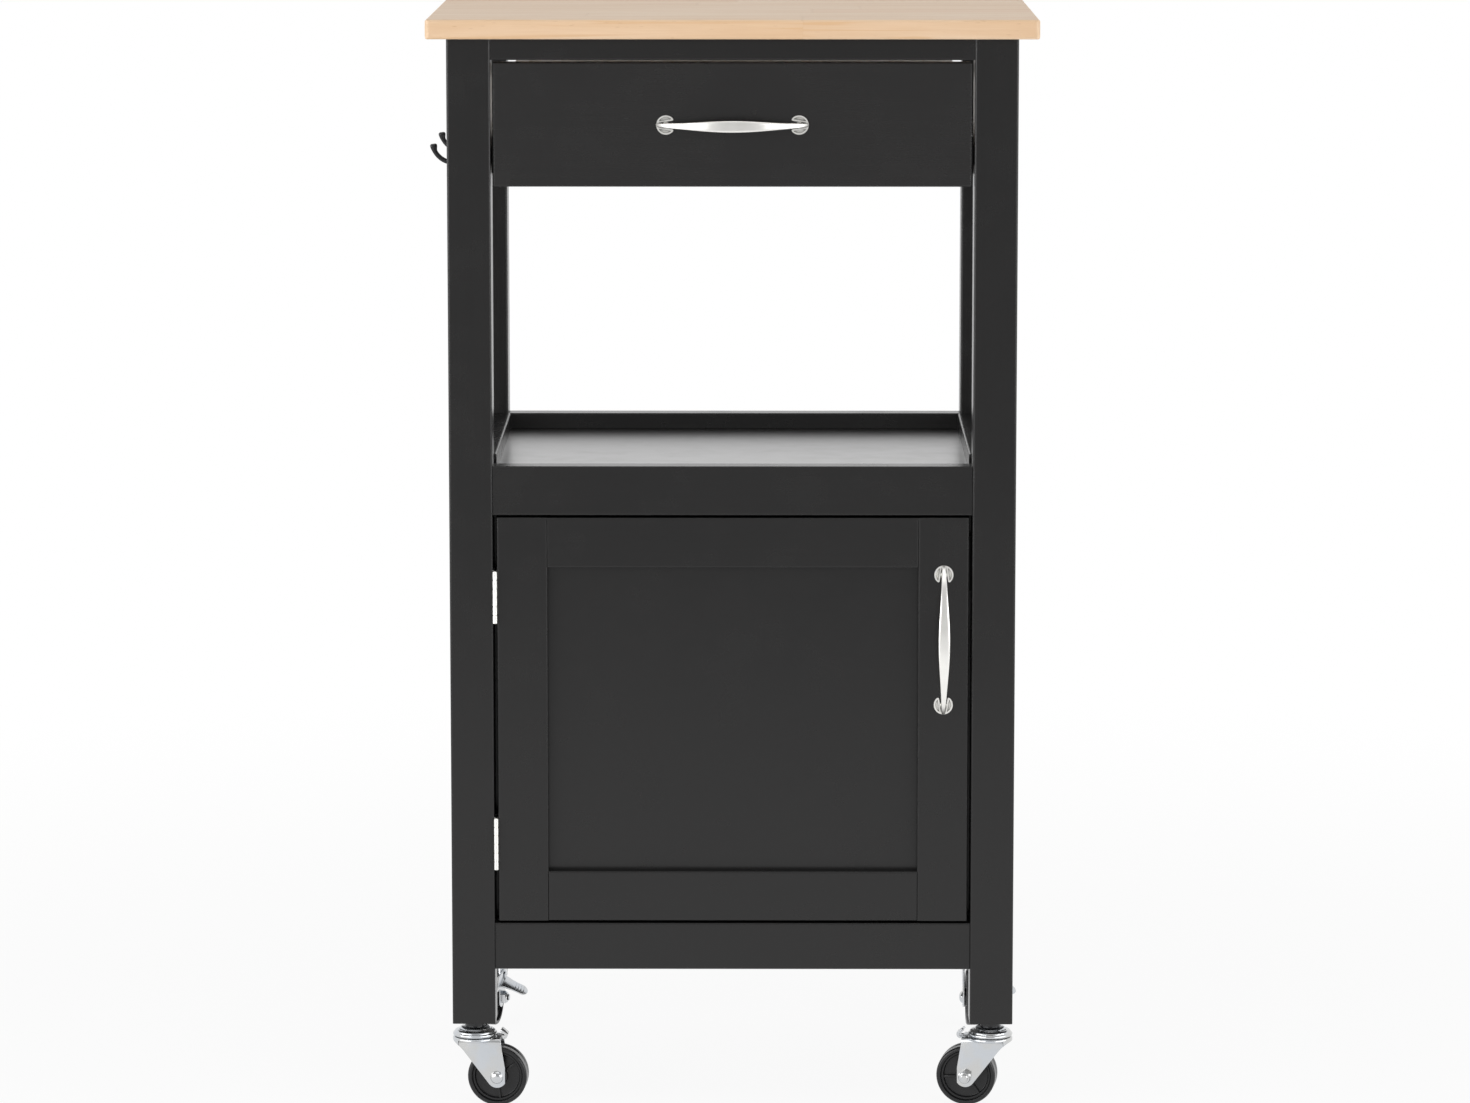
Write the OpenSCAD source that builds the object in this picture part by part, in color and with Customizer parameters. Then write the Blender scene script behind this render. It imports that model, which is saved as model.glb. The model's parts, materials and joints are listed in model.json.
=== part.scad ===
// Kitchen island cart: wooden worktop on a four-post frame, one drawer, an open shelf,
// a cupboard with a framed door, two side hooks and four swivel casters.
// X runs to the right, Y to the back, Z up. The origin is on the floor, under the middle
// of the worktop. Sizes are in millimetres.

/* [Worktop] */
// Width of the worktop, side to side
top_w = 503; // [500:1:520]
// Depth of the worktop, front to back
top_d = 385; // [384:1:400]
// Thickness of the worktop
top_t = 16; // [15:1:22]
// Height of the worktop's surface above the floor
counter_h = 914; // [912:1:930]
// How far the worktop stands out past the legs
overhang = 16.5; // [10:0.5:20]

/* [Frame] */
// Side of the square legs
leg_s = 36; // [34:1:38]
// Thickness of the rails
rail_t = 20; // [18:1:20]
// Height of the rails right under the worktop
top_rail_h = 18; // [17:1:20]
// Height of the side rails that carry the drawer and the hooks
side_rail_h = 31; // [28:1:34]
// How far rails, drawer and door sit back from the legs' front faces
inset = 1.5; // [1:0.5:3]
// Rounding of the edges of the wooden parts
ease = 1.2; // [0.5:0.1:2]

/* [Drawer] */
// Height of the drawer front
drawer_h = 102; // [96:1:104]
// Thickness of the drawer front and the door frame
front_t = 18; // [16:1:20]
// Thickness of the drawer's sides and back
box_t = 12; // [12:1:13]

/* [Shelf and cupboard] */
// Height of the open shelf's surface above the floor
shelf_z = 536; // [530:1:540]
// Height of the cupboard door
door_h = 340.8; // [338:0.1:341]
// Width of the door's stiles and rails
stile_w = 42; // [38:1:46]
// How far the door's panel lies behind its frame
panel_recess = 10; // [6:1:11]
// Thickness of shelves, floor and inner shelf
board_t = 12; // [12:1:14]
// Thickness of the cupboard's side panels
side_t = 16; // [16:1:18]

/* [Pulls] */
// Distance between the two screws of a pull
pull_pitch = 108.6; // [96:0.1:112]
// Diameter of the round feet
foot_d = 15.8; // [15:0.1:17]
// How far a pull stands out from the front
pull_out = 25; // [22:1:28]
// Width of a pull's bar at its middle
pull_w = 9.8; // [8:0.1:11]

/* [Casters] */
// Height of a caster, from the floor to the leg
caster_h = 72; // [72:1:74]
// Diameter of a wheel
wheel_d = 50; // [49:0.5:50]
// Width of a wheel's tread
wheel_w = 20; // [18:1:20]
// How far the axle trails behind the stem
trail = 19.5; // [18:0.5:20]
// Angles that the four casters stand at: front left, front right, back left, back right
caster_turn = [-4, 171, -100, -90];

/* [Hidden] */
$fn = 48;

LACQUER = "#2b2b2d";
INSIDE = "#d9c3a2";
NICKEL = "#c9c7c0";
ZINC = "#cdd2d4";
BLACK = "#1c1c1e";

eps = 0.01;
fit = 0.02;          // a screw or dowel in its own hole
run = 0.05;          // a turning pin in its bore

// Frame planes
frame_w = top_w - 2 * overhang;
frame_d = top_d - 2 * overhang;
leg_x = (frame_w - leg_s) / 2;
leg_y = (frame_d - leg_s) / 2;
in_x = leg_x - leg_s / 2;
in_y = leg_y - leg_s / 2;
top_z = counter_h - top_t;
face_y = -frame_d / 2 + inset;
rail_back_y = face_y + rail_t;
front_back_y = face_y + front_t;
side_x = in_x - 2;
side_out_x = side_x + side_t;
leg_signs = [[-1, -1], [1, -1], [-1, 1], [1, 1]];

// Heights
top_rail_z = top_z - top_rail_h;
drawer_z1 = top_rail_z - 2;
drawer_z0 = drawer_z1 - drawer_h;
guide_z = drawer_z0 + 23.5;
side_rail_z = guide_z - side_rail_h / 2;
lip_front_z = shelf_z + 8;
lip_z = shelf_z + 14;
shelf_rail_z0 = shelf_z - 33;
door_z1 = shelf_rail_z0 - 2;
door_z0 = door_z1 - door_h;
bottom_z = door_z0 - 2;
bottom_rail_h = 39.5;
bottom_rail_z0 = bottom_z - bottom_rail_h;
inner_shelf_z = 330;

// Back panel in its grooves
panel_t = 4;
panel_y = in_y + 8;
panel_deep = 4;
panel_into_rail = 8;

// Dado joints of the shelf and the floor
dado = 4;
tongue = 5;

// Drawer box
drawer_x = 196.5;
box_x = in_x - 9;
box_z0 = drawer_z0 + 4;
box_z1 = drawer_z1 - 16;
box_y1 = in_y - 10;
box_lap = 6;
guide_h = 16;
guide_x = box_x - 5.5;
guide_y0 = -in_y - 10;
groove_gap = 0.3;
box_bottom_t = 4;
box_bottom_z = box_z0 + 3;
box_groove = 5;

// Door
door_x0 = -195.8;
door_x1 = 196.3;
tenon = 8;
door_panel_t = 5;
door_panel_y = face_y + panel_recess;

// Hinges
barrel_r = 2.1;
pin_r = 1;
hinge_h = 44;
knuckles = 6;
hinge_x = (-in_x + door_x0) / 2;
hinge_y = face_y - 3;
hinge_z = [door_z1 - 66.6, door_z0 + 65.7];
leaf_t = 1;
leaf_w = 19;
leaf_screw_y = face_y + 9.5;
leaf_screw_z = 12;

// Pulls
pull_reach = pull_pitch / 2 + foot_d / 2 - 1.2;
bar_t = 5.4;
pull_rise = pull_out - bar_t / 2;
pull_root = 1;
pull_rings = 44;
pull_sides = 16;
pull_z = drawer_z0 + 51;
door_pull_x = 175.5;
door_pull_z = 398.8;
pull_screw_in = 6;

// Hooks
hook_y = [-66, 66];
hook_z = guide_z - 2.5;
hook_plate_t = 2.5;
hook_rod_r = 2;
hook_bend_r = 18.5;
hook_plate_h = 28;
hook_plate_w = 12;
hook_root_z = hook_z - 9.8;
hook_bend_x = -in_x - 35.6;

// Bolts and barrel nuts of the rails
bolt_r = 3;
bolt_head_r = 5;
bolt_sink = 6.5;
bolt_len = 61;
barrel_nut_r = 5;
barrel_nut_l = 13;
barrel_nut_deep = 16.6;
barrel_nut_x = in_x - 22;
bolt_y = [face_y + rail_t / 2, in_y + rail_t / 2];
bolt_z = [top_z - top_rail_h / 2, shelf_rail_z0 + 14, bottom_rail_z0 + 19.75];

// Casters
insert_r = 6;
insert_h = 22;
stem_r = 4;
neck_r = 8.3;
king_r = 5;
cap_r = 18.75;
cap_z0 = caster_h - 13.2;
plate_z1 = cap_z0 - 0.5;
plate_z0 = plate_z1 - 2;
fork_r = 18.9;
cheek_y = 11;
cheek_t = 2;
axle_z = wheel_d / 2;
axle_r = 3;
brake_x = 16;
brake_z = 45;
brake_pin_r = 2;
cheek_out = cheek_y + cheek_t;
fork_bend_r = 3.4;
fork_tongue_w = 11;

// Angles that the four wheels' ribs stand at
wheel_turn = [34, -5, 15, 77];

// ---------------------------------------------------------------- shared shapes

// Rectangle with rounded corners, centred
module eased_rect(w, h, r) {
    square([w - 2 * r, h], center = true);
    square([w, h - 2 * r], center = true);
    for (sx = [-1, 1], sy = [-1, 1])
        translate([sx * (w / 2 - r), sy * (h / 2 - r)]) circle(r);
}

// Board between two corners, with its four long edges eased
module board(lo, hi, along, r = ease) {
    size = hi - lo;
    translate((lo + hi) / 2) {
        if (along == "x")
            rotate([90, 0, 90]) linear_extrude(size.x, center = true) eased_rect(size.y, size.z, r);
        if (along == "y")
            rotate([90, 0, 0]) linear_extrude(size.y, center = true) eased_rect(size.x, size.z, r);
        if (along == "z")
            linear_extrude(size.z, center = true) eased_rect(size.x, size.y, r);
    }
}

// Plain block between two corners
module block(lo, hi) {
    translate(lo) cube(hi - lo);
}

// Skin over a row of rings that have the same number of points, closed at both ends
module swept(rings) {
    n = len(rings[0]);
    last = (len(rings) - 1) * n;
    walls = [
        for (i = [0:n:last - n], k = [0:n - 1])
            let (a = i + k, b = i + (k + 1) % n)
            each [[a, a + n, b + n], [a, b + n, b]]
    ];
    polyhedron(
        points = [for (ring = rings) each ring],
        faces = concat([[for (k = [0:n - 1]) k]], walls, [[for (k = [n - 1:-1:0]) last + k]]),
        convexity = 4
    );
}

function turn(dir) =
    dir == "x+" ? [0, 90, 0] :
    dir == "x-" ? [0, -90, 0] :
    dir == "y+" ? [-90, 0, 0] :
    dir == "y-" ? [90, 0, 0] :
    dir == "z-" ? [180, 0, 0] : [0, 0, 0];

// Puts a shape that points up Z at a place, pointing the given way
module toward(place, dir) {
    translate(place) rotate(turn(dir)) children();
}

module rod(place, dir, r, length) {
    toward(place, dir) cylinder(r = r, h = length);
}

// ---------------------------------------------------------------- fasteners

screw_r = 1.5;
screw_head_r = 3.2;
screw_head_h = 1.7;
screw_tip = 3;

// Countersunk wood screw, head flush with z = 0, driven up Z
module wood_screw(length) {
    difference() {
        screw_body(length, 0);
        for (a = [0, 90])
            rotate(a) translate([-1.7, -0.35, -eps]) cube([3.4, 0.7, 1.2]);
    }
}

module screw_body(length, gap) {
    rotate_extrude()
        polygon([
            [0, 0], [screw_head_r + gap, 0], [screw_r + gap, screw_head_h],
            [screw_r + gap, length - screw_tip + gap], [0, length + gap]
        ]);
}

// The hole that a wood screw leaves
module screw_hole(length) {
    translate([0, 0, -eps]) screw_body(length + eps, fit);
}

// Places of the wood screws, by what they hold: [place, direction, length]
top_screws = [
    for (x = [-130, 130], y = bolt_y) [[x, y, top_rail_z], "z+", 28],
    for (s = [-1, 1], y = [-70, 70]) [[s * (side_x + rail_t / 2), y, top_rail_z], "z+", 28]
];
guide_screws = [
    for (s = [-1, 1], y = [-128, -50, 50, 128])
        [[s * guide_x, y, guide_z], s < 0 ? "x-" : "x+", 28]
];
hook_screws = [
    for (y = hook_y, dz = [-2, 9.5])
        [[-side_x - rail_t - hook_plate_t, y, hook_z + dz], "x+", 17]
];
hinge_leg_screws = [
    for (z = hinge_z, s = [-1, 1])
        [[-in_x + leaf_t, leaf_screw_y, z + s * leaf_screw_z], "x-", 15]
];
hinge_door_screws = [
    for (z = hinge_z, s = [-1, 1])
        [[door_x0 - leaf_t, leaf_screw_y, z + s * leaf_screw_z], "x+", 15]
];
catch_x = in_x - 18;
catch_y = [front_back_y + 1.1, front_back_y + 15.1];
catch_z = [437, 483];
catch_screws = [
    for (s = [-1, 1])
        [[catch_x, (catch_y[0] + catch_y[1]) / 2, (catch_z[0] + catch_z[1]) / 2 + s * 16], "x+", 30]
];
strike_x = [catch_x - 1, door_x1 - 2];
strike_t = 0.8;
strike_screws = [
    [[(strike_x[0] + strike_x[1]) / 2, front_back_y + strike_t, (catch_z[0] + catch_z[1]) / 2], "y-", 14]
];

module screws(list) {
    for (s = list) toward(s[0], s[1]) wood_screw(s[2]);
}

module screw_holes(list) {
    for (s = list) toward(s[0], s[1]) screw_hole(s[2]);
}

// Holes for the bolts of the rails: through the legs from their outer sides, and on into the rails
module bolt_holes() {
    for (s = [-1, 1], y = bolt_y, z = bolt_z)
        toward([s * (frame_w / 2 + eps), y, z], s < 0 ? "x+" : "x-") {
            cylinder(r = bolt_head_r + 0.5, h = bolt_sink + eps);
            cylinder(r = bolt_r + fit, h = bolt_sink + bolt_len + 2);
        }
}

module barrel_nut_holes() {
    for (s = [-1, 1], z = bolt_z) {
        rod([s * barrel_nut_x, rail_back_y + eps, z], "y-", barrel_nut_r + fit, barrel_nut_deep);
        rod([s * barrel_nut_x, in_y - eps, z], "y+", barrel_nut_r + fit, barrel_nut_deep);
    }
}

// Socket-head bolt, seat of its head at z = 0, shank up Z
module frame_bolt() {
    difference() {
        union() {
            translate([0, 0, -bolt_sink + 0.5]) cylinder(r = bolt_head_r, h = bolt_sink - 0.5);
            cylinder(r = bolt_r, h = bolt_len);
        }
        translate([0, 0, -bolt_sink]) cylinder(r = 2.9, h = 3.8, $fn = 6);
    }
}

// Cross dowel with its threaded hole and a slot, mouth at z = 0, depth down Z
module barrel_nut(to_bolt) {
    difference() {
        translate([0, 0, to_bolt - barrel_nut_l / 2]) cylinder(r = barrel_nut_r, h = barrel_nut_l);
        translate([0, 0, to_bolt]) rotate([0, 90, 0])
            cylinder(r = bolt_r + run, h = 4 * barrel_nut_r, center = true);
        translate([-barrel_nut_r, -0.6, to_bolt - barrel_nut_l / 2 - eps])
            cube([2 * barrel_nut_r, 1.2, 1.2]);
    }
}

module wood_screws() {
    color(ZINC) {
        screws(top_screws);
        screws(guide_screws);
        screws(hook_screws);
        screws(hinge_leg_screws);
        screws(catch_screws);
    }
}

module frame_bolts() {
    color(BLACK)
        for (s = [-1, 1], y = bolt_y, z = bolt_z)
            toward([s * (frame_w / 2 - bolt_sink), y, z], s < 0 ? "x+" : "x-") frame_bolt();
}

module frame_nuts() {
    color(ZINC) {
        for (s = [-1, 1], z = bolt_z) {
            toward([s * barrel_nut_x, rail_back_y, z], "y-") barrel_nut(rail_back_y - bolt_y[0]);
            toward([s * barrel_nut_x, in_y, z], "y+") barrel_nut(bolt_y[1] - in_y);
        }
        for (c = leg_signs) translate([c.x * leg_x, c.y * leg_y, caster_h]) leg_insert();
    }
}

// ---------------------------------------------------------------- worktop and legs

module top_board() {
    half = [top_w / 2, top_d / 2];
    soft = 2;
    color("#e2c49c")
        difference() {
            intersection() {
                board([-half.x, -half.y, top_z], [half.x, half.y, counter_h], "x", soft);
                board([-half.x, -half.y, top_z], [half.x, half.y, counter_h], "y", soft);
                board([-half.x, -half.y, top_z], [half.x, half.y, counter_h], "z", 2 * soft);
            }
            screw_holes(top_screws);
        }
}

// One leg, with the bore for its caster's insert, its bolts and, at the back, the panel's groove
module leg(sx, sy) {
    lo = [sx * leg_x - leg_s / 2, sy * leg_y - leg_s / 2, caster_h];
    color(LACQUER)
        difference() {
            board(lo, lo + [leg_s, leg_s, top_z - caster_h], "z", inset);
            bolt_holes();
            rod([sx * leg_x, sy * leg_y, caster_h - eps], "z+", insert_r + fit, insert_h + 12);
            if (sy > 0) back_panel_space();
            if (sx < 0 && sy < 0) screw_holes(hinge_leg_screws);
            if (sx > 0 && sy < 0) screw_holes(catch_screws);
        }
}

module leg_front_left() { leg(-1, -1); }
module leg_front_right() { leg(1, -1); }
module leg_back_left() { leg(-1, 1); }
module leg_back_right() { leg(1, 1); }

// ---------------------------------------------------------------- rails and panels

module front_rail(z0, z1) {
    color(LACQUER)
        difference() {
            board([-in_x, face_y, z0], [in_x, rail_back_y, z1], "x");
            bolt_holes();
            barrel_nut_holes();
            children();
        }
}

module back_rail(z0, z1) {
    color(LACQUER)
        difference() {
            board([-in_x, in_y, z0], [in_x, in_y + rail_t, z1], "x");
            bolt_holes();
            barrel_nut_holes();
            back_panel_space();
            children();
        }
}

module side_rail(s, z0, z1) {
    x = [s * side_x, s * (side_x + rail_t)];
    board([min(x), -in_y, z0], [max(x), in_y, z1], "y");
}

module top_rail_front() { front_rail(top_rail_z, top_z) screw_holes(top_screws); }
module top_rail_back() { back_rail(top_rail_z, top_z) screw_holes(top_screws); }

module top_rails_side() {
    color(LACQUER)
        for (s = [-1, 1])
            difference() {
                side_rail(s, top_rail_z, top_z);
                screw_holes(top_screws);
            }
}

module hook_rail() {
    color(LACQUER)
        difference() {
            side_rail(-1, side_rail_z, side_rail_z + side_rail_h);
            screw_holes(guide_screws);
            screw_holes(hook_screws);
        }
}

module runner_rail() {
    color(LACQUER)
        difference() {
            side_rail(1, side_rail_z, side_rail_z + side_rail_h);
            screw_holes(guide_screws);
        }
}

// Hardwood strips that the drawer's grooved sides run on
module drawer_guides() {
    color(INSIDE)
        for (s = [-1, 1])
            difference() {
                board([min(s * guide_x, s * side_x), guide_y0, guide_z - guide_h / 2],
                      [max(s * guide_x, s * side_x), in_y, guide_z + guide_h / 2], "y", 0.8);
                screw_holes(guide_screws);
            }
}

// Outline of a shelf board: its sides lie in the side panels' dados and stop at the front legs
module shelf_outline(front_y, back_y) {
    polygon([
        [-side_x, front_y], [side_x, front_y], [side_x, -in_y], [side_x + dado, -in_y],
        [side_x + dado, in_y], [side_x, in_y], [side_x, back_y], [-side_x, back_y],
        [-side_x, in_y], [-side_x - dado, in_y], [-side_x - dado, -in_y], [-side_x, -in_y]
    ]);
}

module shelf_panel() {
    color(LACQUER)
        translate([0, 0, shelf_z - board_t]) linear_extrude(board_t)
            shelf_outline(rail_back_y - tongue, in_y + tongue);
}

module bottom_panel() {
    color(LACQUER)
        translate([0, 0, bottom_z - board_t]) linear_extrude(board_t)
            shelf_outline(rail_back_y, in_y);
}

module shelf_rail_front() {
    front_rail(shelf_rail_z0, lip_front_z)
        block([-side_x, rail_back_y - tongue, shelf_z - board_t], [side_x, rail_back_y + eps, shelf_z]);
}

module shelf_rail_back() {
    back_rail(shelf_rail_z0, lip_z)
        block([-side_x, in_y - eps, shelf_z - board_t], [side_x, in_y + tongue, shelf_z]);
}

module bottom_rail_front() { front_rail(bottom_rail_z0, bottom_z); }
module bottom_rail_back() { back_rail(bottom_rail_z0, bottom_z); }

// Space that the back panel fills in the legs' and rails' grooves
module back_panel_space() {
    block([-in_x - panel_deep, panel_y, bottom_z - panel_into_rail],
          [in_x + panel_deep, panel_y + panel_t, shelf_rail_z0 + panel_into_rail]);
}

module back_panel() {
    color(LACQUER) back_panel_space();
}

pin_hole_r = 2.5;
pin_deep = 9;
pin_rows = [-2, -1, 0, 1, 2];
pin_step = 32;
pin_y = 100;

// Cupboard side: a panel between the legs, with dados for both boards and rows of pin holes
module side_panel(s) {
    x = [s * side_x, s * side_out_x];
    color(LACQUER)
        difference() {
            board([min(x), -in_y, bottom_rail_z0], [max(x), in_y, lip_z], "y");
            for (z = [shelf_z, bottom_z])
                block([s * side_x - dado, -in_y - eps, z - board_t], [s * side_x + dado, in_y + eps, z]);
            for (y = [-pin_y, pin_y], row = pin_rows)
                rod([s * (side_x - eps), y, inner_shelf_z - board_t - pin_hole_r + row * pin_step],
                    s < 0 ? "x-" : "x+", pin_hole_r + fit, pin_deep);
        }
}

module side_panel_left() { side_panel(-1); }
module side_panel_right() { side_panel(1); }

module inner_shelf() {
    color(LACQUER)
        board([-side_x + 0.5, -132, inner_shelf_z - board_t], [side_x - 0.5, 136, inner_shelf_z], "x", 1);
}

// Pegs under the inner shelf, each with a collar and a flat top
module shelf_pins() {
    color(ZINC)
        for (s = [-1, 1], y = [-pin_y, pin_y])
            toward([s * side_x, y, inner_shelf_z - board_t - pin_hole_r], s < 0 ? "x-" : "x+") {
                cylinder(r = pin_hole_r, h = pin_deep - 1);
                translate([0, 0, -1.2]) cylinder(r = pin_hole_r, h = 1.2);
                translate([0, 0, -8]) cylinder(r = pin_hole_r, h = 7);
            }
}

// Magnetic catch: a housing with two cheeks of steel standing out of its front
module magnet_catch() {
    mid_z = (catch_z[0] + catch_z[1]) / 2;
    color(BLACK)
        difference() {
            union() {
                board([catch_x, catch_y[0] + 1, catch_z[0]], [in_x, catch_y[1], catch_z[1]], "z", 1);
                for (x = [catch_x + 5, catch_x + 9])
                    block([x, catch_y[0], mid_z - 11], [x + 1.2, catch_y[0] + 4, mid_z + 11]);
            }
            screw_holes(catch_screws);
        }
}

// ---------------------------------------------------------------- hooks

// A prong runs out of its plate, bends up and ends in a flared, slightly flat tip
hook_start_x = -side_x - rail_t - 1;
hook_straight = hook_start_x - hook_bend_x;
hook_turn = 82;
hook_length = hook_straight + hook_bend_r * hook_turn * PI / 180;
hook_rings = 30;
hook_sides = 12;

function hook_angle(s) = -90 - max(s - hook_straight, 0) / hook_bend_r * 180 / PI;
function hook_at(s) =
    [max(hook_start_x - s, hook_bend_x), hook_root_z + hook_bend_r]
    + hook_bend_r * [cos(hook_angle(s)), sin(hook_angle(s))];
function hook_way(s) = [sin(hook_angle(s)), -cos(hook_angle(s))];

// How far a place along the prong is into its root's flare, and into its tip's
function root_part(s) = max(1 - s / 5, 0);
function tip_swell(s) = sin(120 * max(1 - (hook_length - s) / 6.5, 0));
function tip_close(s) = sqrt(1 - 0.75 * pow(max(1 - (hook_length - s) / 1.4, 0), 2));
function prong_ring(y, s) =
    let (
        c = hook_at(s), d = hook_way(s),
        r = hook_rod_r + 2.2 * pow(root_part(s), 2),
        w = (r + 1.1 * tip_swell(s)) * tip_close(s)
    )
    [for (k = [0:hook_sides - 1])
        let (
            a = 360 * k / hook_sides,
            swell = (sin(a) < 0 ? 1.7 : 0.3) * tip_swell(s),
            n = (r + swell) * tip_close(s) * sin(a)
        )
        [c[0] - n * d[1], y + w * cos(a), c[1] + n * d[0]]];

module side_hook(y) {
    plate_x = -side_x - rail_t;
    round_end = (hook_plate_h - hook_plate_w) / 2;
    translate([plate_x, y, hook_z]) rotate([0, -90, 0]) linear_extrude(hook_plate_t) {
        square([2 * round_end, hook_plate_w], center = true);
        for (s = [-1, 1]) translate([s * round_end, 0]) circle(d = hook_plate_w);
    }
    swept([for (i = [0:hook_rings]) prong_ring(y, hook_length * i / hook_rings)]);
}

module side_hooks() {
    color(BLACK)
        difference() {
            for (y = hook_y) side_hook(y);
            screw_holes(hook_screws);
        }
}

// ---------------------------------------------------------------- hinges

// One leaf of a butt hinge. side is -1 for the leaf on the leg and 1 for the one on the door,
// and first is the first of its knuckles
module hinge_leaf(z, side, first) {
    step = hinge_h / knuckles;
    edge_x = side < 0 ? -in_x - hinge_x : door_x0 - hinge_x;
    x = side < 0 ? [edge_x, edge_x + leaf_t] : [edge_x - leaf_t, edge_x];
    flap_y = barrel_r + 0.2;
    translate([hinge_x, hinge_y, z - hinge_h / 2])
        difference() {
            union() {
                block([x[0], flap_y, 0], [x[1], flap_y + leaf_w, hinge_h]);
                for (k = [first:2:knuckles - 1])
                    translate([0, 0, k * step + 0.05]) {
                        knuckle(step - 0.1);
                        block([x[0], 0, 0], [x[1], flap_y + eps, step - 0.1]);
                    }
            }
            translate([0, 0, -1]) cylinder(r = pin_r + run, h = hinge_h + 2);
        }
}

// Rolled knuckle with chamfered ends, so that a fine groove shows between each and the next
module knuckle(h) {
    c = 0.4;
    rotate_extrude()
        polygon([
            [0, 0], [barrel_r - c, 0], [barrel_r, c], [barrel_r, h - c], [barrel_r - c, h], [0, h]
        ]);
}

module hinge_leg_leaves() {
    color(NICKEL) {
        difference() {
            for (z = hinge_z) hinge_leaf(z, -1, 0);
            screw_holes(hinge_leg_screws);
        }
        for (z = hinge_z) translate([hinge_x, hinge_y, z]) hinge_pin();
    }
}

module hinge_pin() {
    cylinder(r = pin_r, h = hinge_h, center = true);
}

module hinge_door_leaves() {
    color(NICKEL)
        difference() {
            for (z = hinge_z) hinge_leaf(z, 1, 1);
            screw_holes(hinge_door_screws);
        }
}

// ---------------------------------------------------------------- pulls

// The bar's centre line springs from each foot's outer rim and arches over: t runs from -1 to 1
function bow_at(t) =
    [pull_reach * sin(90 * t),
     pull_root + (pull_rise - pull_root) * pow(max(1 - pow(abs(sin(90 * t)), 2.4), 0), 0.75)];
function bow_way(t) =
    let (d = bow_at(min(t + 0.002, 1)) - bow_at(max(t - 0.002, -1)))
    abs(t) > 0.995 ? [0, -sign(t)] : d / norm(d);

// Width and thickness of the bar at a distance u from its middle
function bar_width(u) =
    4.5 + (pull_w - 4.5) * pow(cos(90 * min(abs(u) / 54, 1)), 1.7)
    - 1.7 * pow(max(abs(u) - 48, 0) / (pull_reach - 48), 1.5);
function bar_depth(u) = bar_t - 2.2 * pow(abs(u) / pull_reach, 4);

// Softened rectangle, as a fraction of its half width and half depth
function soft(c) = sign(c) * pow(abs(c), 0.55);
function bar_ring(t) =
    let (c = bow_at(t), d = bow_way(t), w = bar_width(c[0]) / 2, h = bar_depth(c[0]) / 2)
    [for (k = [0:pull_sides - 1])
        let (a = 360 * k / pull_sides, n = h * soft(sin(a)))
        [c[0] - n * d[1], w * soft(cos(a)), c[1] + n * d[0]]];

module bow_bar() {
    swept([for (i = [0:pull_rings]) bar_ring(-1 + 2 * i / pull_rings)]);
}

// Outline of the two lobes that a V, narrowing outwards, leaves of a foot's disc
module foot_lobes() {
    difference() {
        circle(d = foot_d);
        polygon([[5.6, -1.9], [5.6, 1.9], [-9, 4.1], [-9, -4.1]]);
    }
}

// Round foot of two dished lobes with a raised rim, joined on the outside, and a post for the screw
module pull_foot() {
    rim_z = 2.4;
    floor_z = 1;
    difference() {
        union() {
            linear_extrude(rim_z - 0.4) foot_lobes();
            linear_extrude(rim_z) offset(delta = -0.4) foot_lobes();
        }
        translate([0, 0, floor_z]) linear_extrude(rim_z) offset(delta = -1.5) foot_lobes();
    }
    cylinder(r1 = 3.4, r2 = 2.4, h = 7.6);
}

// A pull along X, standing up Z from its feet
module bow_pull() {
    color(NICKEL)
        difference() {
            union() {
                bow_bar();
                for (s = [0, 180]) rotate(s) translate([pull_pitch / 2, 0, 0]) pull_foot();
            }
            for (s = [-1, 1]) translate([s * pull_pitch / 2, 0, -eps]) cylinder(r = 2, h = pull_screw_in);
        }
}

// Machine screw from the back of the front, with its head at z = 0 and its shank up Z
module pull_screw() {
    difference() {
        union() {
            rotate_extrude() polygon([[0, -2.3], [2.6, -2.3], [3.8, -1], [3.8, 0], [0, 0]]);
            cylinder(r = 2 - fit, h = front_t + pull_screw_in - 0.5);
        }
        for (a = [0, 90]) rotate(a) translate([-2, -0.4, -2.4]) cube([4, 0.8, 1.4]);
    }
}

module pull_screw_places(upright) {
    for (s = [-1, 1])
        if (upright)
            toward([door_pull_x, front_back_y, door_pull_z + s * pull_pitch / 2], "y-") children();
        else
            toward([s * pull_pitch / 2, front_back_y, pull_z], "y-") children();
}

module drawer_pull() {
    translate([0, face_y, pull_z]) rotate([90, 0, 0]) bow_pull();
}

module door_pull() {
    translate([door_pull_x, face_y, door_pull_z]) rotate([90, 0, 0]) rotate(90) bow_pull();
}

module drawer_screws() {
    color(ZINC) pull_screw_places(false) pull_screw();
}

module door_screws() {
    color(ZINC) {
        pull_screw_places(true) pull_screw();
        screws(hinge_door_screws);
        screws(strike_screws);
    }
}

// ---------------------------------------------------------------- drawer

module drawer_front() {
    color(LACQUER)
        difference() {
            board([-drawer_x, face_y, drawer_z0], [drawer_x, front_back_y, drawer_z1], "x");
            pull_screw_places(false) translate([0, 0, -1]) cylinder(r = 2, h = front_t + 2);
            for (s = [-1, 1])
                block([min(s * box_x, s * (box_x - box_t)), front_back_y - box_lap, box_z0],
                      [max(s * box_x, s * (box_x - box_t)), front_back_y + eps, box_z1]);
            drawer_bottom_space();
        }
}

module drawer_bottom_space() {
    x = box_x - box_t + box_groove;
    block([-x, front_back_y - box_groove, box_bottom_z], [x, box_y1 - 1, box_bottom_z + box_bottom_t]);
}

drawer_back_y = box_y1 - 18;

module drawer_back_space() {
    x = box_x - box_t + box_groove;
    block([-x, drawer_back_y, box_bottom_z + box_bottom_t], [x, drawer_back_y + box_t, box_z1]);
}

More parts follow.
